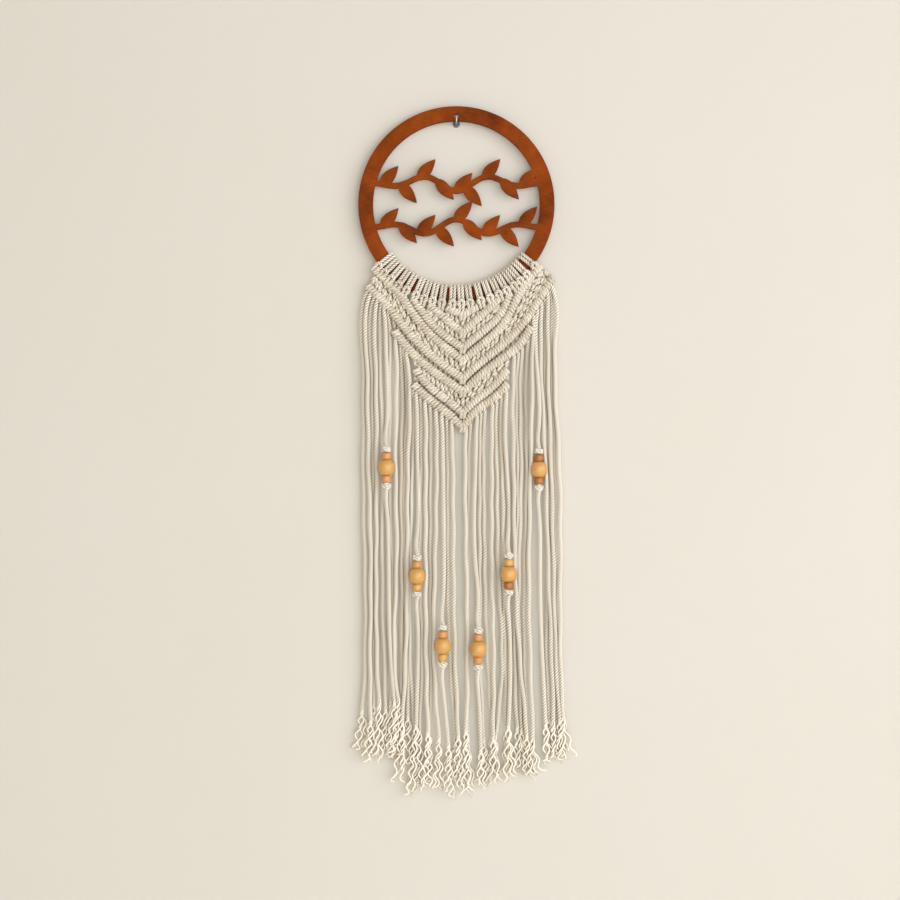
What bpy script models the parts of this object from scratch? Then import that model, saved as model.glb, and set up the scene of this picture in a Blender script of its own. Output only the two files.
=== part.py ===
"""Macrame wall hanging on a round openwork board, with the small wall hook that it hangs from.

Units are metres, written as millimetres times MM. The origin is on the wall, at the middle of the
hook's flat back, +Z is up and the front faces -Y. Places on the hanging are (x, drop) pairs: x to the
right of the board's centre and drop down from it, so a place above the centre has a negative drop.
"""

import math
from collections import namedtuple

import bmesh
import bpy
from mathutils import Vector

MM = 0.001
GAP = 0.3 * MM  # what stays free between two pieces that touch

# Wall hook: a bent wire in a small round wall plug
WIRE_R = 1.0 * MM
WIRE_BEND_R = 1.5 * MM
PLUG_R = 3.5 * MM
PLUG_DEPTH = 2.5 * MM
HOOK_RISE = 8.5 * MM

# Board: a ring with leafy fretwork across it, cut from one sheet
BOARD_T = 4.0 * MM
RING_OUTER_R = 100.0 * MM
RING_INNER_R = 85.0 * MM
RING_SIDES = 60
HOLE_R = 2.5 * MM
HOLE_UP = 90.0 * MM
STEM_W = 5.6 * MM
LEAF_L = 26.0 * MM
LEAF_W = 12.0 * MM
LEAF_START = 1.0  # how far in the first leaf stands, in spaces between leaves
LEAF_LEAN = math.radians(48)

# Where things lie in front of the wall
MID_Y = -9.0 * MM  # middle of the board and of the knotwork
LAYER_Y = {"front": MID_Y - 2.0 * MM, "back": MID_Y + 2.0 * MM}
RING_Z = WIRE_R + GAP - RING_INNER_R  # height of the board's centre

# Cord and knots
CORD_HALF = 1.6 * MM
KNOT_PITCH = 9.6 * MM  # from one ridge of a bar to the next
BAR_HALF_W = 5.0 * MM
BAR_VALLEY = 0.84  # size of a bar between two knots
BAR_BACK = 4.6 * MM
BAR_SHOULDER = 2.6 * MM
BAR_FRONT = 5.0 * MM
BAR_LAP = 2.5 * MM  # how far an arm runs past the middle of its V

# Lark's heads round the board's lower edge
HEAD_COUNT = 20
HEAD_PITCH = math.radians(5.4)
HEAD_HALF_W = 3.4 * MM
HEAD_WALL = 3.1 * MM
HEAD_BAR_IN = 95.0 * MM
HEAD_BAR_PROUD = 7.3 * MM
TAIL_HALF_W = 3.8 * MM
TAIL_HALF_T = 2.0 * MM
TIGHT = 15.0 * MM  # bars closer than this touch, and show no tail between them

# Beads: a large one between two small ones, between two overhand knots
BORE_R = 2.7 * MM
LARGE_R = 8.0 * MM
LARGE_HALF_H = 7.6 * MM
SMALL_R = 4.8 * MM
SMALL_HALF_H = 3.7 * MM
BEAD_SIDES = 10
KNOT_HALF = 2.9 * MM
KNOT_REACH = LARGE_HALF_H + 2 * (SMALL_HALF_H + GAP) + KNOT_HALF + GAP
KNOT_SHAPE = (
    (-KNOT_HALF, CORD_HALF),
    (-0.45 * KNOT_HALF, KNOT_HALF),
    (0.45 * KNOT_HALF, KNOT_HALF),
    (KNOT_HALF, CORD_HALF),
)
BEAD_LEAD = 22 * MM  # the strand comes forward and goes back over this length

# Unravelled tips: two wavy locks to a strand in front, one to a strand behind
LOCK_R = 0.95 * MM
LOCK_OFF = 0.9 * MM
LOCK_WAVE = 2.3 * MM
LOCK_STEPS = 4
TIP_FLARE = 0.075

# Drops at which the hanging strands' places are given
DROP_HIGH = 140 * MM
DROP_1 = 250 * MM
DROP_2 = 370 * MM
DROP_3 = 490 * MM
LEVEL_GAP = 15 * MM  # a level nearer than this to another station is left out

Colour = namedtuple("Colour", "rgb roughness metallic")
STAINED_BOARD = Colour((0.20, 0.032, 0.006), 0.5, 0.0)
COTTON = Colour((0.80, 0.74, 0.62), 0.95, 0.0)
BEAD_WOOD = Colour((0.63, 0.34, 0.10), 0.35, 0.0)
BEAD_DARK = Colour((0.42, 0.16, 0.04), 0.35, 0.0)
STEEL = Colour((0.45, 0.46, 0.43), 0.35, 1.0)

# The diagonal bars, top to bottom: each arm's (x, drop) stations in mm, from its outer end to the middle
BARS = {
    "bar_0_left": ((-10, 105), (6, 112)),
    "bar_1_left": ((-27, 102), (-17, 111), (-6, 121), (6, 130)),
    "bar_2_left": ((-44, 96), (-38, 105), (-31, 115), (-19, 128), (6, 146)),
    "bar_3_left": ((-81, 68), (-69, 80), (-56, 94), (-41, 115), (-19, 139), (6, 158)),
    "bar_4_left": ((-91, 83), (-74, 99), (-57, 120), (-33, 147), (-11, 165), (6, 177)),
    "bar_5_left": ((-63, 129), (-49, 147), (-30, 165), (6, 190)),
    "bar_6_left": ((-41, 168), (-28, 185), (-10, 199), (6, 212)),
    "bar_7_left": ((-44, 183), (-28, 198), (-10, 212), (6, 226)),
    "bar_0_right": ((22, 104), (7, 112)),
    "bar_1_right": ((42, 97), (33, 106), (20, 118), (7, 130)),
    "bar_2_right": ((54, 91), (50, 103), (42, 116), (31, 126), (7, 146)),
    "bar_3_right": ((86, 62), (72, 79), (60, 99), (48, 121), (27, 142), (7, 158)),
    "bar_4_right": ((98, 74), (82, 101), (64, 126), (42, 147), (20, 165), (7, 177)),
    "bar_5_right": ((76, 125), (64, 143), (45, 158), (7, 190)),
    "bar_6_right": ((52, 168), (38, 185), (21, 199), (7, 212)),
    "bar_7_right": ((52, 183), (38, 197), (21, 209), (7, 226)),
}

# The hanging strands, left to right, in mm. bar and root: the bar that the strand leaves, and where.
# high, x1, x2, x3: its x at the four drops above. opens, tip: the drops where it opens into locks and ends.
Strand = namedtuple("Strand", "bar root high x1 x2 x3 opens tip layer")
STRANDS = [
    Strand("bar_4_left", -90, -95, -93, -94, -95, 516, 565, "back"),
    Strand("bar_4_left", -87, -89, -87, -88, -87, 526, 572, "front"),
    Strand("bar_4_left", -83, -84, -83, -85, -85, 511, 567, "back"),
    Strand("bar_4_left", -78, -79, -79, -83, -80, 505, 572, "front"),
    Strand("bar_4_left", -73, -73, -70, -66, -63, 507, 564, "front"),
    Strand("bar_4_left", -69, -69, -66, -65, -67, 511, 567, "back"),
    Strand("bar_5_left", -61, -61, -61, -62, -59, 505, 565, "front"),
    Strand("bar_5_left", -56, -56, -56, -56, -56, 518, 572, "back"),
    Strand("bar_5_left", -50, -50, -49, -52, -54, 528, 592, "front"),
    Strand("bar_7_left", -43, -43, -48, -46, -43, 534, 602, "back"),
    Strand("bar_7_left", -40, -40, -40, -40, -41, 531, 607, "front"),
    Strand("bar_7_left", -36, -36, -37, -36, -38, 536, 597, "back"),
    Strand("bar_7_left", -31, -31, -31, -30, -30, 538, 597, "front"),
    Strand("bar_7_left", -26, -26, -26, -26, -28, 538, 595, "back"),
    Strand("bar_7_left", -20, -20, -21, -21, -21, 544, 602, "front"),
    Strand("bar_7_left", -14, -14, -13, -12, -8, 551, 609, "front"),
    Strand("bar_7_left", -9, -9, -9, -8, -2, 544, 597, "back"),
    Strand("bar_7_left", -4, -4, -4, -1, 2, 541, 597, "front"),
    Strand("bar_7_right", 9, 9, 10, 11, 10, 536, 607, "front"),
    Strand("bar_7_right", 13, 13, 11, 11, 12, 554, 600, "back"),
    Strand("bar_7_right", 20, 20, 20, 22, 23, 556, 597, "front"),
    Strand("bar_7_right", 28, 28, 29, 32, 35, 541, 590, "back"),
    Strand("bar_7_right", 36, 36, 36, 37, 37, 544, 592, "front"),
    Strand("bar_7_right", 40, 40, 40, 42, 46, 541, 590, "back"),
    Strand("bar_7_right", 45, 45, 48, 49, 51, 534, 587, "back"),
    Strand("bar_7_right", 50, 50, 52, 53, 56, 531, 593, "front"),
    Strand("bar_5_right", 58, 58, 59, 66, 69, 541, 587, "front"),
    Strand("bar_5_right", 66, 66, 64, 65, 67, 536, 585, "back"),
    Strand("bar_5_right", 72, 72, 70, 70, 72, 541, 589, "back"),
    Strand("bar_4_right", 78, 78, 74, 76, 76, 546, 587, "front"),
    Strand("bar_4_right", 82, 82, 84, 90, 91, 530, 575, "front"),
    Strand("bar_4_right", 86, 86, 95, 98, 99, 528, 572, "front"),
    Strand("bar_4_right", 89, 90, 94, 93, 95, 526, 572, "back"),
    Strand("bar_4_right", 93, 96, 99, 104, 105, 526, 569, "front"),
    Strand("bar_4_right", 95, 100, 102, 102, 103, 528, 567, "back"),
    Strand("bar_4_right", 97, 105, 107, 108, 109, 524, 564, "front"),
]

# The bead sets: which strand carries each, its large bead's place in mm, how far it stands out from
# the strand's layer, and whether its upper and lower small beads are of darker wood
BeadSet = namedtuple("BeadSet", "strand x drop out dark_top dark_low")
BEAD_SETS = [
    BeadSet(4, -71, 268, 7.5, False, False),
    BeadSet(10, -40, 378, 7.5, True, False),
    BeadSet(15, -14, 449, 7.5, False, False),
    BeadSet(20, 22, 452, 7.5, False, True),
    BeadSet(25, 53, 376, 7.5, False, True),
    BeadSet(30, 84, 270, 1.0, True, True),
]


def at(x, drop, y):
    """A point of the hanging in the model's frame."""
    return Vector((x, y, RING_Z - drop))


def new_object(name, bm, collection=None):
    """A named object made from a bmesh, with its faces turned outward."""
    bmesh.ops.recalc_face_normals(bm, faces=bm.faces[:])
    mesh = bpy.data.meshes.new(name)
    bm.to_mesh(mesh)
    bm.free()
    obj = bpy.data.objects.new(name, mesh)
    (collection or bpy.context.scene.collection).objects.link(obj)
    return obj


def lofted(rings):
    """A closed bmesh skinned over rings of points, each ring with as many points, and its ends capped."""
    bm = bmesh.new()
    loops = [[bm.verts.new(point) for point in ring] for ring in rings]
    count = len(loops[0])
    for low, high in zip(loops, loops[1:]):
        for i in range(count):
            j = (i + 1) % count
            bm.faces.new((low[i], low[j], high[j], high[i]))
    bm.faces.new(loops[0])
    bm.faces.new(loops[-1])
    return bm


def prism(outline, y_front, y_back):
    """A flat outline of (x, drop) points, made into a board between two depths."""
    return lofted([[at(x, drop, y) for x, drop in outline] for y in (y_front, y_back)])


def painted(obj, name, colour):
    """Gives the object a Principled material of its own."""
    material = bpy.data.materials.new(name)
    material.use_nodes = True
    shader = material.node_tree.nodes["Principled BSDF"]
    shader.inputs["Base Color"].default_value = (*colour.rgb, 1)
    shader.inputs["Roughness"].default_value = colour.roughness
    shader.inputs["Metallic"].default_value = colour.metallic
    obj.data.materials.clear()
    obj.data.materials.append(material)
    return obj


def hidden_collection(name):
    """A collection for the shapes that a Boolean joins or cuts with."""
    collection = bpy.data.collections.new(name)
    bpy.context.scene.collection.children.link(collection)
    return collection


def joined(obj, collection, operation="UNION"):
    """Joins the collection's shapes to the object, or cuts them from it, with one exact Boolean."""
    for operand in collection.objects:
        operand.hide_render = True
        operand.display_type = "WIRE"
    boolean = obj.modifiers.new(f"{operation.lower()}_{collection.name}", "BOOLEAN")
    boolean.operation = operation
    boolean.operand_type = "COLLECTION"
    boolean.collection = collection
    return obj


def turned(sides, profile, centre, axis):
    """A closed round piece: (radius, height) stations turned about an axis through centre."""
    across = Vector((1, 0, 0))
    other = axis.cross(across)
    rings = []
    for radius, height in profile:
        turns = [math.tau * i / sides for i in range(sides)]
        spokes = [across * math.cos(a) + other * math.sin(a) for a in turns]
        rings.append([centre + spoke * radius + axis * height for spoke in spokes])
    return rings


# ------------------------------------------------------------------ wall hook


def hook_path():
    """The wire's centre line: out from the wall, round a tight bend, and up in front of the board."""
    upright_y = MID_Y - BOARD_T / 2 - 0.4 * MM - WIRE_R
    bend_y = upright_y + WIRE_BEND_R
    path = [Vector((0, -0.5 * MM, 0)), Vector((0, bend_y, 0))]
    for step in range(1, 5):
        turn = math.radians(90 * step / 4)
        path.append(Vector((0, bend_y - WIRE_BEND_R * math.sin(turn), WIRE_BEND_R * (1 - math.cos(turn)))))
    path.append(Vector((0, upright_y, HOOK_RISE)))
    return path


def wire_rings(path, sides=10):
    """Round sections square to a path that stays in the plane x = 0."""
    across = Vector((1, 0, 0))
    rings = []
    for i, point in enumerate(path):
        along = (path[min(i + 1, len(path) - 1)] - path[max(i - 1, 0)]).normalized()
        other = along.cross(across)
        turns = [math.tau * k / sides for k in range(sides)]
        rings.append([point + (across * math.cos(a) + other * math.sin(a)) * WIRE_R for a in turns])
    return rings


def wall_hook():
    profile = [(PLUG_R, 0), (PLUG_R, 0.7 * PLUG_DEPTH), (0.7 * PLUG_R, PLUG_DEPTH)]
    hook = new_object("wall_hook", lofted(turned(16, profile, Vector(), Vector((0, -1, 0)))))
    wires = hidden_collection("hook_wire")
    new_object("hook_wire_shape", lofted(wire_rings(hook_path())), wires)
    return painted(joined(hook, wires), "hook_steel", STEEL)


# ------------------------------------------------------------------ openwork board


def ring_band():
    """The flat ring, square edged."""
    bm = bmesh.new()
    front, back = MID_Y - BOARD_T / 2, MID_Y + BOARD_T / 2
    corners = [(RING_OUTER_R, front), (RING_OUTER_R, back), (RING_INNER_R, back), (RING_INNER_R, front)]
    loops = []
    for step in range(RING_SIDES):
        a = math.tau * step / RING_SIDES
        loops.append([bm.verts.new(at(r * math.sin(a), r * math.cos(a), y)) for r, y in corners])
    for here, there in zip(loops, loops[1:] + loops[:1]):
        for i in range(4):
            j = (i + 1) % 4
            bm.faces.new((here[i], here[j], there[j], there[i]))
    return bm


def leaf_outline(x, drop, heading, length, width):
    """A pointed leaf that grows from a place on the stem, its base sunk into it."""
    along = Vector((math.cos(heading), math.sin(heading)))
    side = Vector((-along.y, along.x))
    base = Vector((x, drop)) - along * 1.5 * MM
    stations = ((0.0, 0.25), (0.22, 0.8), (0.45, 1.0), (0.72, 0.66), (1.0, 0.0))
    edge = [base + along * length * t + side * width / 2 * w for t, w in stations]
    other = [base + along * length * t - side * width / 2 * w for t, w in stations[-2::-1]]
    return [(p.x, p.y) for p in edge + other]


def stem_line(level, swing, phase, steps=18):
    """The wavy centre line of a vine that runs from one side of the ring to the other."""
    reach = math.sqrt(RING_INNER_R**2 - level**2) + 3 * MM
    line = []
    for i in range(steps + 1):
        t = i / steps
        wave = swing * math.sin(phase + math.tau * 2.5 * t) * math.sin(math.pi * t)
        line.append((reach * (2 * t - 1), level + wave))
    return line


def ribbon_outline(line, width):
    """A line of (x, drop) points widened into a closed outline."""
    near, far = [], []
    for i, (x, drop) in enumerate(line):
        ahead, behind = line[min(i + 1, len(line) - 1)], line[max(i - 1, 0)]
        along = Vector((ahead[0] - behind[0], ahead[1] - behind[1])).normalized()
        side = Vector((-along.y, along.x)) * width / 2
        near.append((x + side.x, drop + side.y))
        far.append((x - side.x, drop - side.y))
    return near + far[::-1]


# Two vines: the level of each, how far and from where it swings, and how many leaves it bears
Vine = namedtuple("Vine", "level swing phase leaves")
VINES = [
    Vine(-22 * MM, 8 * MM, 0.0, 9),
    Vine(23 * MM, 8 * MM, math.pi, 9),
]


def vine_outlines(vine):
    """The outlines of a vine's stem and of its leaves, which point up and down by turns."""
    line = stem_line(vine.level, vine.swing, vine.phase)
    outlines = [ribbon_outline(line, STEM_W)]
    for leaf in range(vine.leaves):
        t = (leaf + LEAF_START) / (vine.leaves + LEAF_START)
        station = min(int(t * (len(line) - 1)), len(line) - 2)
        x, drop = line[station]
        upward = leaf % 2 == 0
        heading = -LEAF_LEAN if upward else LEAF_LEAN
        outlines.append(leaf_outline(x, drop, heading, LEAF_L, LEAF_W))
    return outlines


def ring_board():
    front, back = MID_Y - BOARD_T / 2, MID_Y + BOARD_T / 2
    board = new_object("ring_board", ring_band())
    fretwork = hidden_collection("fretwork")
    for vine in VINES:
        for outline in vine_outlines(vine):
            new_object("fretwork_shape", prism(outline, front, back), fretwork)
    joined(board, fretwork)
    drill = hidden_collection("hanging_hole")
    depth = BOARD_T
    profile = [(HOLE_R, -depth), (HOLE_R, depth)]
    rings = turned(12, profile, at(0, -HOLE_UP, MID_Y), Vector((0, -1, 0)))
    new_object("hanging_hole_shape", lofted(rings), drill)
    joined(board, drill, "DIFFERENCE")
    return painted(board, "stained_board", STAINED_BOARD)


# ------------------------------------------------------------------ macrame


def along_line(stations, pitch):
    """Points at an even pitch along straight (x, drop) runs, with the direction at each."""
    points = [Vector(station) for station in stations]
    lengths = [(b - a).length for a, b in zip(points, points[1:])]
    total = sum(lengths)
    count = max(2, round(total / pitch))
    found = []
    for i in range(count + 1):
        left = total * i / count
        run = 0
        while run < len(lengths) - 1 and left > lengths[run]:
            left -= lengths[run]
            run += 1
        heading = (points[run + 1] - points[run]).normalized()
        found.append((points[run] + heading * left, heading))
    return found


def bar_stations(name):
    """A bar's stations in metres, its inner end run on past the middle of the V."""
    stations = [Vector((x * MM, drop * MM)) for x, drop in BARS[name]]
    last = (stations[-1] - stations[-2]).normalized()
    stations[-1] = stations[-1] + last * BAR_LAP
    return stations


def bar_drop(name, x):
    """The drop of a bar's centre line at x."""
    stations = bar_stations(name)
    for a, b in zip(stations, stations[1:]):
        low, high = sorted((a.x, b.x))
        if low <= x <= high:
            return a.y + (b.y - a.y) * (x - a.x) / (b.x - a.x)
    return stations[0].y


def ridged_bar(name):
    """One diagonal bar of hitches: a five-sided section that swells at each knot."""
    rings = []
    places = along_line(bar_stations(name), KNOT_PITCH / 2)
    for i, (place, heading) in enumerate(places):
        side = Vector((-heading.y, heading.x))
        size = 1.0 if i % 2 else BAR_VALLEY
        half = BAR_HALF_W * size
        section = (
            (-0.8 * half, MID_Y + BAR_BACK * size),
            (0.8 * half, MID_Y + BAR_BACK * size),
            (half, MID_Y - BAR_SHOULDER * size),
            (0.0, MID_Y - BAR_FRONT * size),
            (-half, MID_Y - BAR_SHOULDER * size),
        )
        rings.append([at(*(place + side * across), y) for across, y in section])
    return lofted(rings)


def head_angles():
    """The angle of each lark's head from straight down, left to right."""
    first = -(HEAD_COUNT - 1) / 2 * HEAD_PITCH
    return [first + i * HEAD_PITCH for i in range(HEAD_COUNT)]


def polar(angle, radius, sideways):
    """The (x, drop) of a point at a radius below the board's centre, turned by angle."""
    return (
        radius * math.sin(angle) + sideways * math.cos(angle),
        radius * math.cos(angle) - sideways * math.sin(angle),
    )


def head_loop(angle):
    """A lark's head: a loop of cord round the board's band, a little clear of it, its cross bar proud."""
    inner_in, inner_out = RING_INNER_R - GAP, RING_OUTER_R + GAP
    outer_in, outer_out = inner_in - HEAD_WALL, inner_out + HEAD_WALL
    window = BOARD_T / 2 + GAP
    half = window + HEAD_WALL
    outside = (
        (outer_in, -half),
        (HEAD_BAR_IN, -half),
        (HEAD_BAR_IN, -HEAD_BAR_PROUD),
        (outer_out, -HEAD_BAR_PROUD),
        (outer_out, half),
        (outer_in, half),
    )
    inside = ((inner_in, -window), (inner_out, -window), (inner_out, window), (inner_in, window))
    bm = bmesh.new()
    flanks = []
    for sideways in (-HEAD_HALF_W, HEAD_HALF_W):
        flank = [
            [bm.verts.new(at(*polar(angle, r, sideways), MID_Y + y)) for r, y in loop]
            for loop in (outside, inside)
        ]
        flanks.append(flank)
    for out, hole in flanks:
        bm.faces.new((*out[:4], hole[1], hole[0]))
        bm.faces.new((out[3], out[4], hole[2], hole[1]))
        bm.faces.new((out[4], out[5], hole[3], hole[2]))
        bm.faces.new((out[5], out[0], hole[0], hole[3]))
    for left, right in zip(*flanks):
        for i in range(len(left)):
            j = (i + 1) % len(left)
            bm.faces.new((left[i], left[j], right[j], right[i]))
    return bm


# Where the tails of the ten lark's heads on each side leave the knotwork, outermost first
Tail = namedtuple("Tail", "bar x")
TAILS_LEFT = [
    Tail("bar_4_left", -85),
    Tail("bar_4_left", -77),
    Tail("bar_4_left", -69),
    Tail("bar_5_left", -60),
    Tail("bar_5_left", -52),
    Tail("bar_7_left", -42),
    Tail("bar_7_left", -33),
    Tail("bar_7_left", -24),
    Tail("bar_7_left", -14),
    Tail("bar_7_left", -4),
]
TAILS_RIGHT = [
    Tail("bar_4_right", 93),
    Tail("bar_4_right", 85),
    Tail("bar_4_right", 77),
    Tail("bar_5_right", 69),
    Tail("bar_5_right", 60),
    Tail("bar_7_right", 49),
    Tail("bar_7_right", 40),
    Tail("bar_7_right", 31),
    Tail("bar_7_right", 22),
    Tail("bar_7_right", 12),
]


def bars_crossed(start, end, side):
    """Where the straight line from start to end crosses that side's bars, top to bottom."""
    crossings = []
    for name in BARS:
        if not name.endswith(side):
            continue
        for a, b in zip(bar_stations(name), bar_stations(name)[1:]):
            run, along = end - start, b - a
            spread = run.cross(along)
            t = (a - start).cross(along) / spread
            u = (a - start).cross(run) / spread
            if 0 <= t <= 1.001 and 0 <= u <= 1:
                crossings.append(start + run * t)
    return sorted(crossings, key=lambda place: place.y)


def tail_stretches(angle, tail, whole):
    """The pair of cords below a lark's head, where it shows between two bars or everywhere if whole."""
    start = Vector(polar(angle, RING_OUTER_R + GAP + HEAD_WALL / 2, 0))
    end = Vector((tail.x * MM, bar_drop(tail.bar, tail.x * MM)))
    stops = [start] + bars_crossed(start, end, tail.bar.split("_")[-1])
    stretches = []
    for above, below in zip(stops, stops[1:]):
        if whole or above is start or below.y - above.y > TIGHT:
            stretches.append(tail_shape(above, below, angle if above is start else 0.0))
    return stretches


def tail_shape(above, below, turn):
    """A four-sided piece of a pair of cords between two places, its upper end turned to lie on the board."""
    rings = []
    for place, angle in ((above, turn), (below, 0.0)):
        side = Vector((math.cos(angle), -math.sin(angle))) * TAIL_HALF_W
        corners = ((-1, -1), (1, -1), (1, 1), (-1, 1))
        rings.append([at(*(place + side * i), MID_Y + j * TAIL_HALF_T) for i, j in corners])
    return lofted(rings)


def strand_path(index):
    """A hanging strand's stations, (x, drop, y, half width), out of its bar and down to where it opens."""
    row = STRANDS[index]
    y = LAYER_Y[row.layer]
    root = row.root * MM
    start = bar_drop(row.bar, root)
    levels = ((DROP_HIGH, row.high), (DROP_1, row.x1), (DROP_2, row.x2), (DROP_3, row.x3))
    path = [(root, start, y, CORD_HALF)]
    path += [(x * MM, drop, y, CORD_HALF) for drop, x in levels if drop > start + LEVEL_GAP]
    path.append((row.x3 * MM, row.opens * MM, y, CORD_HALF))
    for bead_set in BEAD_SETS:
        if bead_set.strand == index:
            path = with_beads(path, bead_set, y)
    return path


def with_beads(path, bead_set, y):
    """The stations with a straight stretch through a bead set, drawn forward, and a knot at each end."""
    x, drop = bead_set.x * MM, bead_set.drop * MM
    out = y - bead_set.out * MM
    top, low = drop - KNOT_REACH, drop + KNOT_REACH
    above = [p for p in path if p[1] < top - BEAD_LEAD - LEVEL_GAP]
    below = [p for p in path if p[1] > low + BEAD_LEAD + LEVEL_GAP]
    middle = [(x, top - BEAD_LEAD, y, CORD_HALF)]
    for knot in (top, low):
        for offset, half in KNOT_SHAPE:
            middle.append((x, knot + offset, out, half))
    middle.append((x, low + BEAD_LEAD, y, CORD_HALF))
    return above + middle + below


def squared(path):
    """A four-sided solid along stations that hang nearly straight down."""
    corners = ((-1, -1), (1, -1), (1, 1), (-1, 1))
    return lofted([[at(x + i * w, drop, y + j * w) for i, j in corners] for x, drop, y, w in path])


def lock_path(index, side):
    """One of a strand's two wavy locks, which start inside its end and cross each other as they fall."""
    row = STRANDS[index]
    x, start, end = row.x3 * MM, row.opens * MM - 2 * MM, row.tip * MM
    if side > 0:
        end -= 6 * MM
    path = []
    for i in range(LOCK_STEPS + 1):
        t = i / LOCK_STEPS
        wave = side * LOCK_WAVE * (0.25 if i == 0 else (-1) ** i)
        path.append((x * (1 + TIP_FLARE * t * t) + wave, start + (end - start) * t))
    return path


def lock(index, side):
    """A wavy three-sided lock, beside the strand's middle so that the two locks stay apart."""
    y = LAYER_Y[STRANDS[index].layer] + side * LOCK_OFF
    rings = []
    for x, drop in lock_path(index, side):
        turns = [math.pi / 2 + math.tau * k / 3 for k in range(3)]
        ring = [(x + LOCK_R * math.cos(a), y + side * LOCK_R * math.sin(a)) for a in turns]
        rings.append([at(px, drop, py) for px, py in ring])
    return lofted(rings)


def macrame():
    """All the cotton: heads, tails, bars, strands, knots and locks, joined where they are knotted."""
    names = list(BARS)
    cotton = new_object("macrame", ridged_bar(names[0]))
    shapes = hidden_collection("cotton_shapes")
    for name in names[1:]:
        new_object(name, ridged_bar(name), shapes)
    for column, (angle, tail) in enumerate(zip(head_angles(), TAILS_LEFT + TAILS_RIGHT[::-1])):
        new_object("lark_head", head_loop(angle), shapes)
        for stretch in tail_stretches(angle, tail, column % 3 == 0):
            new_object("lark_head_tail", stretch, shapes)
    for index in range(len(STRANDS)):
        new_object("strand", squared(strand_path(index)), shapes)
        for side in (-1, 1) if STRANDS[index].layer == "front" else (1,):
            new_object("lock", lock(index, side), shapes)
    return painted(joined(cotton, shapes), "cotton_cord", COTTON)


# ------------------------------------------------------------------ beads

# Stations of a bead's outside between its end flats, as shares of its radius and half height
BELLIES = {
    "round": ((0.82, -0.62), (1.0, 0.0), (0.82, 0.62)),
    "barrel": ((1.0, -0.3), (1.0, 0.3)),
}


def bead(name, centre, radius, half_height, shape, colour):
    """A turned bead with a bore down its middle and small flats round the bore."""
    flat = BORE_R + 0.3 * (radius - BORE_R)
    belly = [(radius * across, half_height * up) for across, up in BELLIES[shape]]
    profile = [(BORE_R, -half_height), (flat, -half_height), *belly]
    profile += [(flat, half_height), (BORE_R, half_height)]
    rings = turned(BEAD_SIDES, profile, centre, Vector((0, 0, 1)))
    bm = bmesh.new()
    loops = [[bm.verts.new(point) for point in ring] for ring in rings]
    for low, high in zip(loops, loops[1:] + loops[:1]):
        for i in range(BEAD_SIDES):
            j = (i + 1) % BEAD_SIDES
            bm.faces.new((low[i], low[j], high[j], high[i]))
    return painted(new_object(name, bm), f"{name}_wood", colour)


def bead_group(number, bead_set):
    """A large bead with a small one above and below it, on one strand."""
    layer = LAYER_Y[STRANDS[bead_set.strand].layer]
    y = layer - bead_set.out * MM
    step = LARGE_HALF_H + SMALL_HALF_H + GAP
    x, drop = bead_set.x * MM, bead_set.drop * MM
    top = BEAD_DARK if bead_set.dark_top else BEAD_WOOD
    low = BEAD_DARK if bead_set.dark_low else BEAD_WOOD
    bead(f"bead_{number}_top", at(x, drop - step, y), SMALL_R, SMALL_HALF_H, "barrel", top)
    bead(f"bead_{number}_large", at(x, drop, y), LARGE_R, LARGE_HALF_H, "round", BEAD_WOOD)
    bead(f"bead_{number}_low", at(x, drop + step, y), SMALL_R, SMALL_HALF_H, "barrel", low)


def main():
    for obj in list(bpy.data.objects):
        bpy.data.objects.remove(obj)
    wall_hook()
    ring_board()
    macrame()
    for number, bead_set in enumerate(BEAD_SETS, 1):
        bead_group(number, bead_set)


main()
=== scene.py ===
"""Looks of a macrame wall hanging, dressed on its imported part: every cord, knot and bead, board and hook.

Lengths are millimetres until a mesh is made. Places on the hanging are (x, drop): x to the right of the
board's centre and drop down from it. World axes are the frame's: +Z up, the front faces -Y.
"""

import logging
import math
from collections.abc import Sequence
from dataclasses import dataclass, field
from enum import Enum

import bmesh
import bpy
import numpy as np
from mathutils import Matrix, Vector


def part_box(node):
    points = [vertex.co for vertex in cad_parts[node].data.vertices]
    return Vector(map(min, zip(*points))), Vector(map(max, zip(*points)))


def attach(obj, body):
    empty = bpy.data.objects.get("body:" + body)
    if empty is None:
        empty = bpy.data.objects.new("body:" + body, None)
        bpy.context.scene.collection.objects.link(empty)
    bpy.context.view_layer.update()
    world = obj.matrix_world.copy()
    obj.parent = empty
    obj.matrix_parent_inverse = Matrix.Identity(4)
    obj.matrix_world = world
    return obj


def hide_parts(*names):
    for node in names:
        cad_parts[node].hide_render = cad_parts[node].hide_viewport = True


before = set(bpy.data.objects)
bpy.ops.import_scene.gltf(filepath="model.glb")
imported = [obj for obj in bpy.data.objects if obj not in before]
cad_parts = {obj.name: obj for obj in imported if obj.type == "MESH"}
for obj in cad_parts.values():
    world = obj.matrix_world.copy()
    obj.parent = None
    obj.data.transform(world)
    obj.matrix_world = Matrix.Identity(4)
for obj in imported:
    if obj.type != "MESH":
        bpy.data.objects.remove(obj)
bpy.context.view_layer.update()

LOG = logging.getLogger("macrame_hanging")
MM = 0.001
BODY = "root"


# ------------------------------------------------------------------ the frame's own places


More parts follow.
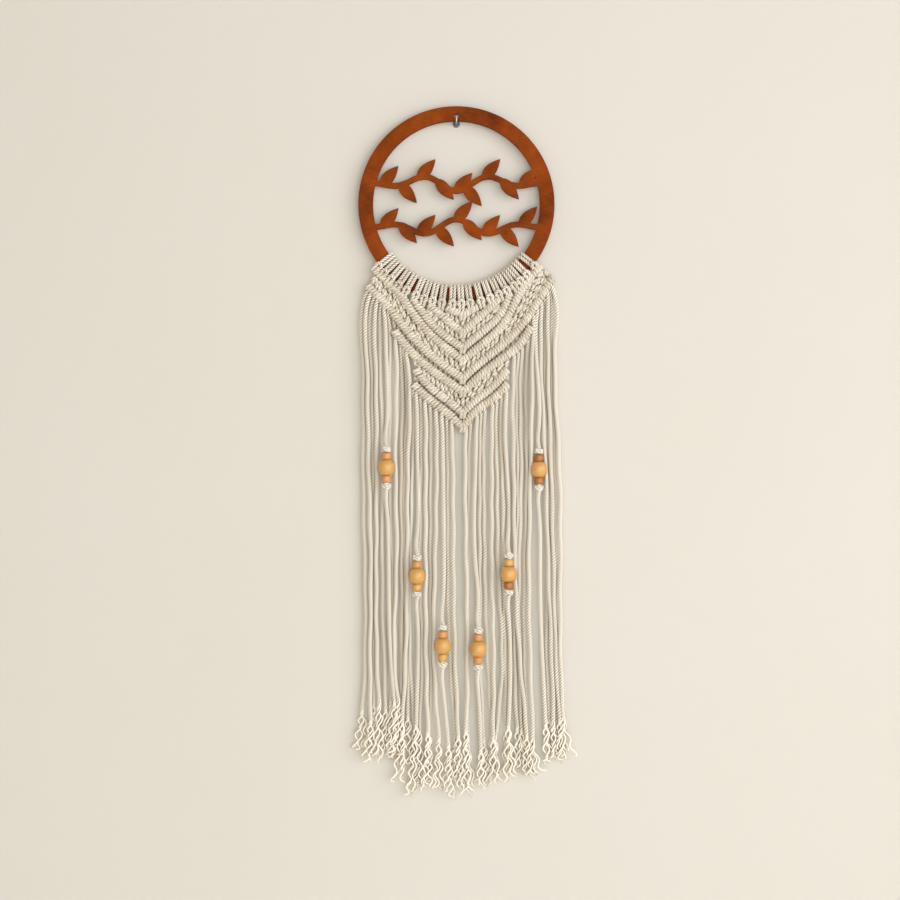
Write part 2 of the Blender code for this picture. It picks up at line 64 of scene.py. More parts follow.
@dataclass(frozen=True)
class Plan:
    """Places that the frame gives, in millimetres.

    Attributes:
        centre_x: the board's centre, to the right.
        centre_z: the board's centre, up.
        mid_y: middle plane of the board and of the knotwork.
        board_half: half the board's thickness.
        ring_outer: outer radius of the board.
    """

    centre_x: float
    centre_z: float
    mid_y: float
    board_half: float
    ring_outer: float

    @classmethod
    def from_frame(cls) -> "Plan":
        """Reads the places from the box of the board's node."""
        low, high = (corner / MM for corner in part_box("ring_board"))
        return cls(
            centre_x=(low.x + high.x) / 2,
            centre_z=(low.z + high.z) / 2,
            mid_y=(low.y + high.y) / 2,
            board_half=(high.y - low.y) / 2,
            ring_outer=(high.x - low.x) / 2,
        )

    def at(self, x: float, drop: float, out: float = 0.0) -> tuple[float, float, float]:
        """A world point from a place on the hanging and how far it stands in front of the middle plane."""
        return (self.centre_x + x, self.mid_y - out, self.centre_z - drop)

    def polar(self, angle: float, radius: float, sideways: float, out: float) -> tuple[float, float, float]:
        """A world point at a radius below the board's centre.

        Args:
            angle: turn from straight down, in radians, positive to the right.
            radius: distance from the board's centre.
            sideways: distance square to the radius, positive to the right.
            out: distance in front of the middle plane.

        Returns:
            The point, in world millimetres.
        """
        x = radius * math.sin(angle) + sideways * math.cos(angle)
        drop = radius * math.cos(angle) - sideways * math.sin(angle)
        return self.at(x, drop, out)


PLAN = Plan.from_frame()


# ------------------------------------------------------------------ small tools


def linear(colour: str) -> tuple[float, float, float, float]:
    """Turns an sRGB hex colour to linear light.

    Args:
        colour: six hex digits after a hash.

    Returns:
        Linear red, green and blue, and an alpha of 1.
    """
    shares = [int(colour[i : i + 2], 16) / 255 for i in (1, 3, 5)]
    red, green, blue = (s / 12.92 if s <= 0.04045 else ((s + 0.055) / 1.055) ** 2.4 for s in shares)
    return (red, green, blue, 1.0)


def add_node(
    tree: bpy.types.NodeTree,
    kind: str,
    settings: dict[int | str, object] | None = None,
    links: dict[int | str, bpy.types.NodeSocket] | None = None,
    **choices: object,
) -> bpy.types.Node:
    """Adds a shader node with its settings and links.

    Args:
        tree: the material's node tree.
        kind: the node's type name.
        settings: values for its inputs, by name or by number.
        links: outputs of other nodes that feed its inputs, by name or by number.
        choices: the node's own properties.

    Returns:
        The new node.
    """
    made = tree.nodes.new(kind)
    for name, value in choices.items():
        setattr(made, name, value)
    for name, value in (settings or {}).items():
        made.inputs[name].default_value = value
    for name, source in (links or {}).items():
        tree.links.new(source, made.inputs[name])
    return made


def new_material(name: str) -> tuple[bpy.types.Material, bpy.types.NodeTree, bpy.types.Node]:
    """A material with an empty Principled shader.

    Args:
        name: the real material and how it was made.

    Returns:
        The material, its node tree and its Principled node.
    """
    material = bpy.data.materials.new(name)
    material.use_nodes = True
    tree = material.node_tree
    return material, tree, tree.nodes["Principled BSDF"]


def spline(points: Sequence[Sequence[float]], step: float) -> np.ndarray:
    """A natural cubic curve through points, read at an even pitch.

    Args:
        points: the places that the curve passes, in millimetres.
        step: pitch of the points that are read.

    Returns:
        The points read, one row each.
    """
    knots = np.array(points, float)
    gaps = np.linalg.norm(np.diff(knots, axis=0), axis=1)
    along = np.concatenate(([0.0], np.cumsum(gaps)))
    count = len(knots)
    rows = np.eye(count)
    right = np.zeros_like(knots)
    for i in range(1, count - 1):
        before, after = gaps[i - 1], gaps[i]
        rows[i, i - 1 : i + 2] = before, 2 * (before + after), after
        right[i] = 6 * ((knots[i + 1] - knots[i]) / after - (knots[i] - knots[i - 1]) / before)
    bend = np.linalg.solve(rows, right)
    reads = np.linspace(0.0, along[-1], max(3, math.ceil(along[-1] / step) + 1))
    run = np.clip(np.searchsorted(along, reads, side="right") - 1, 0, count - 2)
    width = gaps[run][:, None]
    ahead = (along[run + 1] - reads)[:, None]
    behind = (reads - along[run])[:, None]
    near, far = knots[run], knots[run + 1]
    near_bend, far_bend = bend[run], bend[run + 1]
    curved = (near_bend * ahead**3 + far_bend * behind**3) / (6 * width)
    straight = (near / width - near_bend * width / 6) * ahead + (far / width - far_bend * width / 6) * behind
    return curved + straight


def eased(share: np.ndarray | float) -> np.ndarray | float:
    """A smooth step from 0 to 1."""
    held = np.clip(share, 0.0, 1.0)
    return held * held * (3 - 2 * held)


def link_object(name: str, mesh: bpy.types.Mesh) -> bpy.types.Object:
    """A new object of a mesh, in the scene."""
    made = bpy.data.objects.new(name, mesh)
    bpy.context.scene.collection.objects.link(made)
    return made


def turned_object(
    name: str,
    profile: list[tuple[float, float]],
    sides: int,
    place: Matrix,
) -> bpy.types.Object:
    """A closed round piece turned from its profile.

    Args:
        name: the piece's name.
        profile: (radius, height) stations in millimetres; a closed loop, or an open run from axis to axis.
        sides: how many sides it has.
        place: where it goes, with millimetres for its shift.

    Returns:
        The new object.
    """
    bm = bmesh.new()
    rings: list[list[bmesh.types.BMVert]] = []
    for radius, height in profile:
        if radius == 0.0:
            rings.append([bm.verts.new(place @ Vector((0.0, 0.0, height)) * MM)])
            continue
        turns = [math.tau * i / sides for i in range(sides)]
        spots = [place @ Vector((radius * math.cos(a), radius * math.sin(a), height)) for a in turns]
        rings.append([bm.verts.new(spot * MM) for spot in spots])
    open_run = len(rings[0]) == 1
    pairs = list(zip(rings, rings[1:])) + ([] if open_run else [(rings[-1], rings[0])])
    for low, high in pairs:
        for i in range(sides):
            j = (i + 1) % sides
            corners = [low[i % len(low)], low[j % len(low)], high[j % len(high)], high[i % len(high)]]
            bm.faces.new(list(dict.fromkeys(corners)))
    bmesh.ops.recalc_face_normals(bm, faces=bm.faces[:])
    mesh = bpy.data.meshes.new(name)
    bm.to_mesh(mesh)
    bm.free()
    mesh.shade_smooth()
    mesh.set_sharp_from_angle(angle=math.radians(50))
    return link_object(name, mesh)


def tint_of(number: int) -> float:
    """A tint from 0 to 1 for a cord, well spread over neighbouring numbers by the golden share."""
    return (number * 0.618034) % 1.0


def ride_as(piece: bpy.types.Object, slot: str, *nodes: str) -> bpy.types.Object:
    """Makes a piece ride on the body and stand for its nodes, whose parts it hides.

    Args:
        piece: the piece.
        slot: the record's material slot; not used.
        nodes: the nodes that it stands for.

    Returns:
        The same piece.
    """
    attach(piece, BODY)
    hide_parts(*nodes)
    piece.data.update()
    triangles = sum(len(face.vertices) - 2 for face in piece.data.polygons)
    LOG.info("%s: %d triangles", piece.name, triangles)
    return piece


# ------------------------------------------------------------------ finishes


# Blender's wave texture draws this many rings to a unit of length at a scale of 1
WAVE_RINGS = 20 / math.tau


@dataclass(frozen=True)
class CottonRope:
    """Natural cotton, spun and laid up in three plies: a matt, warm ivory with a soft halo of fibres.

    Attributes:
        pale: colour of a clean outer cord.
        deep: colour of a cord that is a little older, and painted shade for a cord that lies deeper.
        groove: colour of the painted shade between two plies, and where cords press together.
        crevice_mm: how near another surface must be for shade to be painted on a cord.
        fibre_w_mm: width of a bundle of fibres; one fibre, 0.02 mm wide, is too fine to show.
        fibre_l_mm: length of a bundle along the cord.
    """

    pale: str = "#FFF9EA"
    deep: str = "#D5CBB8"
    groove: str = "#655238"
    crevice_mm: float = 3.2
    fibre_w_mm: float = 0.25
    fibre_l_mm: float = 2.0

    def material(self) -> bpy.types.Material:
        """Builds the material. It reads the cords' own tint and crest attributes and their lengthwise UV."""
        material, tree, shader = new_material("natural_cotton_rope_three_ply")
        tint = add_node(tree, "ShaderNodeAttribute", attribute_name="tint")
        crest = add_node(tree, "ShaderNodeAttribute", attribute_name="crest")
        body = add_node(
            tree,
            "ShaderNodeMix",
            {6: linear(self.pale), 7: linear(self.deep)},
            {0: tint.outputs["Fac"]},
            data_type="RGBA",
        )
        # Painted shade: the grooves between plies take the groove colour, by the crest attribute
        colour = add_node(
            tree,
            "ShaderNodeMix",
            {6: linear(self.groove)},
            {0: crest.outputs["Fac"], 7: body.outputs[2]},
            data_type="RGBA",
        )
        # Painted shade: a cord darkens to the groove colour where other surfaces are near, as between cords
        # pressed together
        crevice_shade = add_node(
            tree,
            "ShaderNodeAmbientOcclusion",
            {"Distance": self.crevice_mm * MM},
            samples=6,
        )
        open_share = add_node(
            tree,
            "ShaderNodeMapRange",
            {"From Min": 0.14, "From Max": 0.7},
            {"Value": crevice_shade.outputs["AO"]},
        )
        shaded = add_node(
            tree,
            "ShaderNodeMix",
            {6: linear(self.groove)},
            {0: open_share.outputs["Result"], 7: colour.outputs[2]},
            data_type="RGBA",
        )
        # Fibres lie along each ply, so the grain is long in v and fine in u
        place = add_node(tree, "ShaderNodeUVMap", uv_map="along_cord")
        stretch = add_node(
            tree,
            "ShaderNodeMapping",
            {"Scale": (1 / self.fibre_w_mm, 1 / self.fibre_l_mm, 1.0)},
            {"Vector": place.outputs["UV"]},
        )
        grain = add_node(
            tree,
            "ShaderNodeTexNoise",
            {"Scale": 1.0, "Detail": 3.0, "Roughness": 0.6},
            {"Vector": stretch.outputs["Vector"]},
        )
        bump = add_node(
            tree,
            "ShaderNodeBump",
            {"Strength": 0.35, "Distance": 0.12 * MM},
            {"Height": grain.outputs["Fac"]},
        )
        tree.links.new(shaded.outputs[2], shader.inputs["Base Color"])
        tree.links.new(bump.outputs["Normal"], shader.inputs["Normal"])
        shader.inputs["Roughness"].default_value = 0.9
        shader.inputs["IOR"].default_value = 1.53
        shader.inputs["Specular IOR Level"].default_value = 0.2
        shader.inputs["Sheen Weight"].default_value = 0.25
        shader.inputs["Sheen Roughness"].default_value = 0.5
        return material


@dataclass(frozen=True)
class StainedBoard:
    """Fibreboard cut by laser and stained red-brown: an even, half-matt face with soft darker patches.

    Attributes:
        face: colour of the stain where it took least.
        patch: colour where it took most.
        edge: colour of the scorched cut edges, and of the painted shade on the board deep between the cords.
        crevice_mm: how near a cord must be for shade to be painted on the board.
        patch_mm: size of a darker patch.
        grain_mm: width of a streak of stain.
        streak: that width as a share of the streak's length.
    """

    face: str = "#96440A"
    patch: str = "#5C2604"
    edge: str = "#2E0D02"
    crevice_mm: float = 5.0
    patch_mm: float = 28.0
    grain_mm: float = 0.8
    streak: float = 0.12

    def material(self) -> bpy.types.Material:
        """Builds the material. Faces turned off from front and back are cut edges, darkened by the laser."""
        material, tree, shader = new_material("stained_laser_cut_fibreboard")
        place = add_node(tree, "ShaderNodeTexCoord")
        clouds = add_node(
            tree,
            "ShaderNodeTexNoise",
            {"Scale": 1 / (self.patch_mm * MM), "Detail": 3.0, "Roughness": 0.55},
            {"Vector": place.outputs["Object"]},
        )
        streaks = add_node(
            tree,
            "ShaderNodeMapping",
            {"Scale": (self.streak / (self.grain_mm * MM), 1.0, 1 / (self.grain_mm * MM))},
            {"Vector": place.outputs["Object"]},
        )
        grain = add_node(
            tree,
            "ShaderNodeTexNoise",
            {"Scale": 1.0, "Detail": 4.0, "Roughness": 0.6},
            {"Vector": streaks.outputs["Vector"]},
        )
        # The stain takes unevenly: broad patches, and short streaks along the way it was wiped on
        uneven = add_node(
            tree,
            "ShaderNodeMix",
            {0: 0.4},
            {2: clouds.outputs["Fac"], 3: grain.outputs["Fac"]},
        )
        taken = add_node(
            tree,
            "ShaderNodeMapRange",
            {"From Min": 0.34, "From Max": 0.66},
            {"Value": uneven.outputs[0]},
        )
        stain = add_node(
            tree,
            "ShaderNodeMix",
            {6: linear(self.face), 7: linear(self.patch)},
            {0: taken.outputs["Result"]},
            data_type="RGBA",
        )
        normal = add_node(tree, "ShaderNodeNewGeometry")
        split = add_node(tree, "ShaderNodeSeparateXYZ", links={"Vector": normal.outputs["True Normal"]})
        facing = add_node(tree, "ShaderNodeMath", links={0: split.outputs["Y"]}, operation="ABSOLUTE")
        cut = add_node(
            tree,
            "ShaderNodeMapRange",
            {"From Min": 0.45, "From Max": 0.92},
            {"Value": facing.outputs["Value"]},
        )
        colour = add_node(
            tree,
            "ShaderNodeMix",
            {6: linear(self.edge)},
            {0: cut.outputs["Result"], 7: stain.outputs[2]},
            data_type="RGBA",
        )
        # Painted shade: where cords are near, the board darkens to the edge colour
        crevice_shade = add_node(
            tree,
            "ShaderNodeAmbientOcclusion",
            {"Distance": self.crevice_mm * MM},
            samples=6,
        )
        open_share = add_node(
            tree,
            "ShaderNodeMapRange",
            {"From Min": 0.25, "From Max": 0.8},
            {"Value": crevice_shade.outputs["AO"]},
        )
        shaded = add_node(
            tree,
            "ShaderNodeMix",
            {6: linear(self.edge)},
            {0: open_share.outputs["Result"], 7: colour.outputs[2]},
            data_type="RGBA",
        )
        rough = add_node(
            tree,
            "ShaderNodeMapRange",
            {"To Min": 0.5, "To Max": 0.7},
            {"Value": grain.outputs["Fac"]},
        )
        bump = add_node(
            tree,
            "ShaderNodeBump",
            {"Strength": 0.25, "Distance": 0.1 * MM},
            {"Height": grain.outputs["Fac"]},
        )
        tree.links.new(shaded.outputs[2], shader.inputs["Base Color"])
        tree.links.new(rough.outputs["Result"], shader.inputs["Roughness"])
        tree.links.new(bump.outputs["Normal"], shader.inputs["Normal"])
        shader.inputs["IOR"].default_value = 1.48
        shader.inputs["Specular IOR Level"].default_value = 0.08
        return material


class BeadTone(Enum):
    """The woods of the beads, each as a pale and a deep colour: the large ones are all of honey."""

    HONEY = ("#E4B568", "#B8823C")
    TAN = ("#DEA262", "#B97A3C")
    BROWN = ("#C07A34", "#864A16")


@dataclass(frozen=True)
class TurnedWood:
    """Beech turned on a lathe and waxed: growth rings show as fine curved lines under a soft gloss.

    Attributes:
        tone: the wood's colours.
        ring_mm: distance between two growth rings.
        fleck_mm: size of a fleck between them.
    """

    tone: BeadTone
    ring_mm: float = 1.634
    fleck_mm: float = 3.25

    def material(self) -> bpy.types.Material:
        """Builds the material for this tone."""
        pale, deep = (linear(colour) for colour in self.tone.value)
        material, tree, shader = new_material(f"turned_waxed_beech_{self.tone.name.lower()}")
        place = add_node(tree, "ShaderNodeTexCoord")
        rings = add_node(
            tree,
            "ShaderNodeTexWave",
            {
                "Scale": 1 / (WAVE_RINGS * self.ring_mm * MM),
                "Distortion": 3.0,
                "Detail": 2.0,
                "Detail Scale": 2.0,
            },
            {"Vector": place.outputs["Object"]},
            wave_type="RINGS",
            rings_direction="Y",
            wave_profile="SAW",
        )
        fleck = add_node(
            tree,
            "ShaderNodeTexNoise",
            {"Scale": 1 / (self.fleck_mm * MM), "Detail": 3.0},
            {"Vector": place.outputs["Object"]},
        )
        ring_share = add_node(
            tree,
            "ShaderNodeMath",
            {1: 0.45},
            {0: rings.outputs["Fac"]},
            operation="MULTIPLY",
        )
        mixed = add_node(
            tree,
            "ShaderNodeMath",
            {1: 0.5},
            {0: fleck.outputs["Fac"], 2: ring_share.outputs["Value"]},
            operation="MULTIPLY_ADD",
        )
        colour = add_node(
            tree,
            "ShaderNodeMix",
            {6: pale, 7: deep},
            {0: mixed.outputs["Value"]},
            data_type="RGBA",
        )
        bump = add_node(
            tree,
            "ShaderNodeBump",
            {"Strength": 0.12, "Distance": 0.05 * MM},
            {"Height": rings.outputs["Fac"]},
        )
        tree.links.new(colour.outputs[2], shader.inputs["Base Color"])
        tree.links.new(bump.outputs["Normal"], shader.inputs["Normal"])
        shader.inputs["Roughness"].default_value = 0.38
        shader.inputs["IOR"].default_value = 1.5
        shader.inputs["Coat Weight"].default_value = 0.3
        shader.inputs["Coat Roughness"].default_value = 0.25
        return material


@dataclass(frozen=True)
class ZincSteel:
    """Drawn steel wire with a bright zinc coat: pale grey, with a soft metal shine and a faint mottle.

    Attributes:
        pale: colour of the bright coat.
        dull: colour where it is dulled.
        mottle_mm: size of a dull spot.
    """

    pale: str = "#C4CABE"
    dull: str = "#8E958A"
    mottle_mm: float = 0.3

    def material(self) -> bpy.types.Material:
        """Builds the material."""
        material, tree, shader = new_material("zinc_coated_drawn_steel")
        place = add_node(tree, "ShaderNodeTexCoord")
        grain = add_node(
            tree,
            "ShaderNodeTexNoise",
            {"Scale": 1 / (self.mottle_mm * MM), "Detail": 2.0},
            {"Vector": place.outputs["Object"]},
        )
        colour = add_node(
            tree,
            "ShaderNodeMix",
            {6: linear(self.pale), 7: linear(self.dull)},
            {0: grain.outputs["Fac"]},
            data_type="RGBA",
        )
        tree.links.new(colour.outputs[2], shader.inputs["Base Color"])
        shader.inputs["Metallic"].default_value = 0.8
        shader.inputs["Roughness"].default_value = 0.4
        return material


@dataclass(frozen=True)
class MouldedPlug:
    """Nylon wall plug, injection moulded: a dull grey-green with a fine mould grain.

    Attributes:
        pale: colour of the grain's crests.
        deep: colour between them.
        grain_mm: size of the grain.
    """

    pale: str = "#6C7263"
    deep: str = "#4A5144"
    grain_mm: float = 0.4

    def material(self) -> bpy.types.Material:
        """Builds the material."""
        material, tree, shader = new_material("moulded_nylon_plug")
        place = add_node(tree, "ShaderNodeTexCoord")
        grain = add_node(
            tree,
            "ShaderNodeTexNoise",
            {"Scale": 1 / (self.grain_mm * MM), "Detail": 2.0},
            {"Vector": place.outputs["Object"]},
        )
        colour = add_node(
            tree,
            "ShaderNodeMix",
            {6: linear(self.pale), 7: linear(self.deep)},
            {0: grain.outputs["Fac"]},
            data_type="RGBA",
        )
        tree.links.new(colour.outputs[2], shader.inputs["Base Color"])
        shader.inputs["Roughness"].default_value = 0.55
        shader.inputs["IOR"].default_value = 1.53
        return material


@dataclass(frozen=True)
class MattPaint:
    """Flat paint, rolled on: a plain, pale matt ground for the stage, with a mottle that is hardly seen.

    Attributes:
        name: what is painted.
        pale: its lighter colour.
        deep: its darker colour.
        mottle_mm: size of the mottle.
        detail: how finely the mottle breaks up.
        roughness: the paint's roughness.
    """

    name: str
    pale: str
    deep: str
    mottle_mm: float
    detail: float
    roughness: float

    def material(self) -> tuple[bpy.types.Material, bpy.types.NodeTree, bpy.types.Node]:
        """Builds the material, and returns it with its node tree and its Principled node."""
        material, tree, shader = new_material(self.name)
        place = add_node(tree, "ShaderNodeTexCoord")
        mottle = add_node(
            tree,
            "ShaderNodeTexNoise",
            {"Scale": 1 / (self.mottle_mm * MM), "Detail": self.detail},
            {"Vector": place.outputs["Object"]},
        )
        colour = add_node(
            tree,
            "ShaderNodeMix",
            {6: linear(self.pale), 7: linear(self.deep)},
            {0: mottle.outputs["Fac"]},
            data_type="RGBA",
        )
        tree.links.new(colour.outputs[2], shader.inputs["Base Color"])
        shader.inputs["Roughness"].default_value = self.roughness
        return material, tree, shader


# ------------------------------------------------------------------ cords as meshes


@dataclass(frozen=True)
class CordKind:
    """The section and lay of a cord.

    Attributes:
        plies: how many strands are laid up, or 1 for a plain yarn.
        radius: outer radius.
        groove: radius in the groove between two plies, as a share of the outer one.
        shoulder: half the angle that the round top of a ply takes.
        lay: length of one full turn of the plies.
        rings: sections to one lay.
        sides: points round a plain yarn.
        shade: how dark its grooves look, from 0 to 1.
    """

    plies: int = 3
    radius: float = 2.15
    groove: float = 0.52
    shoulder: float = math.radians(24)
    lay: float = 9.0
    rings: int = 11
    sides: int = 6
    shade: float = 0.85

    @property
    def pitch(self) -> float:
        """Distance between two sections."""
        return self.lay / self.rings

    def section(self) -> tuple[np.ndarray, np.ndarray]:
        """The angle of each point of the section, and its reach as a share of the radius."""
        if self.plies == 1:
            return np.arange(self.sides) * math.tau / self.sides, np.ones(self.sides)
        angles: list[float] = []
        reach: list[float] = []
        for ply in range(self.plies):
            start = math.tau * ply / self.plies
            middle = start + math.pi / self.plies
            angles += [start, middle - self.shoulder, middle + self.shoulder]
            reach += [self.groove, 1.0, 1.0]
        return np.array(angles), np.array(reach)


# The real lay is about 7 mm, which is finer than the picture can show, so the twist is drawn a little coarser
ROPE = CordKind()
# Cord that is pulled tight round another is pressed flat and untwists, so that its plies show less
KNOTTED = CordKind(radius=1.95, groove=0.84, lay=13.0, rings=13, shade=0.4)
# Cord that is looped over the board keeps its twist but is drawn thinner
LOOPED = CordKind(radius=1.85, groove=0.62, rings=10, shade=0.7)
# Cord that lies slack between two bars swells and untwists
FAT = CordKind(radius=2.3, groove=0.72, lay=11.0, rings=10, shade=0.5)
# A single ply, at the tips, and the plain middle of a bar, which its knots hide
PLY = CordKind(plies=1, radius=0.88, lay=12.0, rings=8)
CORE = CordKind(plies=1, radius=2.2, lay=12.0, rings=6)


@dataclass
class Skein:
    """Cords that become one mesh.

    Attributes:
        name: the piece's name.
        points: blocks of vertices, in millimetres.
        faces: faces, by vertex number.
        uvs: the place of each face corner round and along its cord, in millimetres.
        tints: a value from 0 to 1 for each vertex, the same along a cord.
        crests: a value for each vertex, 1 on the plies and lower in the grooves, where shade is painted.
        size: how many vertices it has so far.
    """

    name: str
    points: list[np.ndarray] = field(default_factory=list)
    faces: list[list[int]] = field(default_factory=list)
    uvs: list[np.ndarray] = field(default_factory=list)
    tints: list[np.ndarray] = field(default_factory=list)
    crests: list[np.ndarray] = field(default_factory=list)
    size: int = 0

    def lay(
        self,
        path: np.ndarray,
        kind: CordKind,
        tint: float,
        start: float = 0.0,
        thickness: np.ndarray | float = 1.0,
    ) -> float:
        """Sweeps a cord along a path.

        Args:
            path: points at the kind's pitch, one row each.
            kind: the cord's section and lay.
            tint: how deep its colour is, from 0 to 1.
            start: turn of the section at the path's start.
            thickness: share of the kind's radius, for each point or for all.

        Returns:
            The turn of the section at the path's end, seen from the world's X axis on a hanging cord.
        """
        angles, reach = kind.section()
        around = len(angles)
        count = len(path)
        steps = np.linalg.norm(np.diff(path, axis=0), axis=1)
        along = np.concatenate(([0.0], np.cumsum(steps)))
        tangents = np.gradient(path, axis=0)
        tangents /= np.linalg.norm(tangents, axis=1)[:, None]
        normals = self._carried(tangents)
        across = np.cross(tangents, normals)
        turn = start + math.tau * along / kind.lay * (kind.plies > 1)
        radii = kind.radius * np.ones(count) * thickness
        spin = angles[None, :] + turn[:, None]
        reached = (radii[:, None] * reach[None, :])[..., None]
        ring = np.cos(spin)[..., None] * normals[:, None, :] + np.sin(spin)[..., None] * across[:, None, :]
        block = path[:, None, :] + reached * ring
        self.points.append(block.reshape(-1, 3))
        self._skin(count, around, along, kind)
        self.tints.append(np.full(count * around, tint))
        # The crest is low in the grooves, where the material paints shade
        crest = (reach - reach.min()) / max(1e-6, reach.max() - reach.min())
        crest = 1 - kind.shade * (1 - crest) if kind.plies > 1 else np.ones(around)
        self.crests.append(np.tile(crest, count))
        self.size += count * around
        return float(turn[-1])

    def _carried(self, tangents: np.ndarray) -> np.ndarray:
        """Normals carried along a path without twisting, from the one nearest the X axis."""
        normals = np.empty_like(tangents)
        first = np.array((1.0, 0.0, 0.0))
        if abs(tangents[0] @ first) > 0.9:
            first = np.array((0.0, 0.0, 1.0))
        carried = first - (first @ tangents[0]) * tangents[0]
        for i, tangent in enumerate(tangents):
            carried = carried - (carried @ tangent) * tangent
            carried = carried / math.sqrt(carried @ carried)
            normals[i] = carried
        return normals

    def _skin(self, count: int, around: int, along: np.ndarray, kind: CordKind) -> None:
        """Adds the faces and UVs of one swept block, with a cap at each end."""
        ring = np.arange(around)
        ahead = (ring + 1) % around
        base = self.size + np.arange(count - 1)[:, None] * around
        # Each face starts where its diagonal runs with the twist, so that the plies stay round
        quads = np.stack((base + ahead, base + ahead + around, base + ring + around, base + ring), axis=-1)
        self.faces += quads.reshape(-1, 4).tolist()
        girth = math.tau * kind.radius
        left = np.broadcast_to(ring / around * girth, (count - 1, around))
        right = np.broadcast_to((ring + 1) / around * girth, (count - 1, around))
        low = np.broadcast_to(along[:-1, None], (count - 1, around))
        high = np.broadcast_to(along[1:, None], (count - 1, around))
        corners = np.stack((right, low, right, high, left, high, left, low), axis=-1)
        self.uvs.append(corners.reshape(-1, 2))
        last = self.size + (count - 1) * around
        self.faces.append([self.size + i for i in range(around - 1, -1, -1)])
        self.faces.append([last + i for i in range(around)])
        self.uvs.append(np.zeros((2 * around, 2)))

    def build(self, material: bpy.types.Material) -> bpy.types.Object:
        """Makes the piece from the cords laid so far.

        Args:
            material: the cords' material.

        Returns:
            The piece, which rides on the body and stands for the knotted solid.
        """
        mesh = bpy.data.meshes.new(self.name)
        points = np.concatenate(self.points) * MM
        mesh.from_pydata(points.tolist(), [], self.faces)
        layer = mesh.uv_layers.new(name="along_cord")
        layer.data.foreach_set("uv", np.concatenate(self.uvs).astype(np.float32).ravel())
        for name, blocks in (("tint", self.tints), ("crest", self.crests)):
            attribute = mesh.attributes.new(name, "FLOAT", "POINT")
            attribute.data.foreach_set("value", np.concatenate(blocks).astype(np.float32))
        mesh.shade_smooth()
        mesh.materials.append(material)
        return ride_as(link_object(self.name, mesh), "cotton_cord", "macrame")


# ------------------------------------------------------------------ wall hook


@dataclass
class WallHook:
    """A wire hook in its wall plug.

    Attributes:
        wire_r: the wire's radius.
        bend_r: radius of the wire's bend.
        plug_r: the plug's radius.
        plug_depth: how far the plug stands out from the wall.
        rise: height of the wire's tip above the plug's middle.
        clear: gap between the wire and the board.
        root: how far in front of the wall the wire starts, inside the plug.
        side_h: height of the plug's straight side, as a share of its depth.
        crown: radius of the plug's flat top, as a share of the plug's.
        socket_r: radius of the hollow in that top, as a share of the plug's.
        socket_floor: height of the hollow's floor, as a share of the plug's depth.
    """

    wire_r: float = 1.0
    bend_r: float = 1.5
    plug_r: float = 3.5
    plug_depth: float = 2.5
    rise: float = 6.4
    clear: float = 0.4
    root: float = 0.4
    side_h: float = 0.55
    crown: float = 0.62
    socket_r: float = 0.42
    socket_floor: float = 0.82

    def wire_path(self) -> np.ndarray:
        """The wire's centre line: out from the wall, round the bend and up in front of the board."""
        upright = PLAN.mid_y - PLAN.board_half - self.clear - self.wire_r
        bend = upright + self.bend_r
        points = [(0.0, -self.root, 0.0), (0.0, bend / 2, 0.0)]
        for turn in np.linspace(0, math.pi / 2, 6):
            points.append((0.0, bend - self.bend_r * math.sin(turn), self.bend_r * (1 - math.cos(turn))))
        points.append((0.0, upright, self.rise))
        return spline(points, 0.3)

    def build(self) -> list[bpy.types.Object]:
        """Makes the plug and the wire."""
        profile = [(0.0, 0.0), (self.plug_r, 0.0), (self.plug_r, self.side_h * self.plug_depth)]
        shoulder = self.side_h + 0.05
        for turn in np.linspace(0, math.pi / 2, 7):
            radius = self.crown + (1 - self.crown) * math.cos(turn)
            height = shoulder + (1 - shoulder) * math.sin(turn)
            profile.append((radius * self.plug_r, height * self.plug_depth))
        profile.append((self.socket_r * self.plug_r, self.plug_depth))
        profile.append(((self.socket_r - 0.02) * self.plug_r, self.socket_floor * self.plug_depth))
        profile.append((0.0, self.socket_floor * self.plug_depth))
        plug = turned_object("wall_plug", profile, 40, Matrix.Rotation(math.pi / 2, 4, "X"))
        plug.data.materials.append(MouldedPlug().material())
        wire = self._wire()
        wire.data.materials.append(ZincSteel().material())
        return [ride_as(piece, "hook_steel", "wall_hook") for piece in (plug, wire)]

    def _wire(self) -> bpy.types.Object:
        """The wire as a round tube with a rounded tip."""
        path = self.wire_path()
        skein = Skein("hook_wire")
        left = np.linalg.norm(path - path[-1], axis=1)
        rounded = np.sqrt(np.clip(1 - (1 - np.clip(left / self.wire_r, 0, 1)) ** 2, 0.02, 1))
        skein.lay(path, CordKind(plies=1, radius=self.wire_r, sides=18), 0.0, thickness=rounded)
        mesh = bpy.data.meshes.new(skein.name)
        mesh.from_pydata((np.concatenate(skein.points) * MM).tolist(), [], skein.faces)
        mesh.shade_smooth()
        return link_object(skein.name, mesh)


# ------------------------------------------------------------------ fretwork board


@dataclass(frozen=True)
class Vine:
    """A wavy stem with leaves, from one side of the ring to the other.

    Attributes:
        level: the stem's mean drop.
        swing: how far it swings up and down.
        phase: where in its wave it starts.
        leaves: how many leaves it bears.
    """

    level: float
    swing: float
    phase: float
    leaves: int


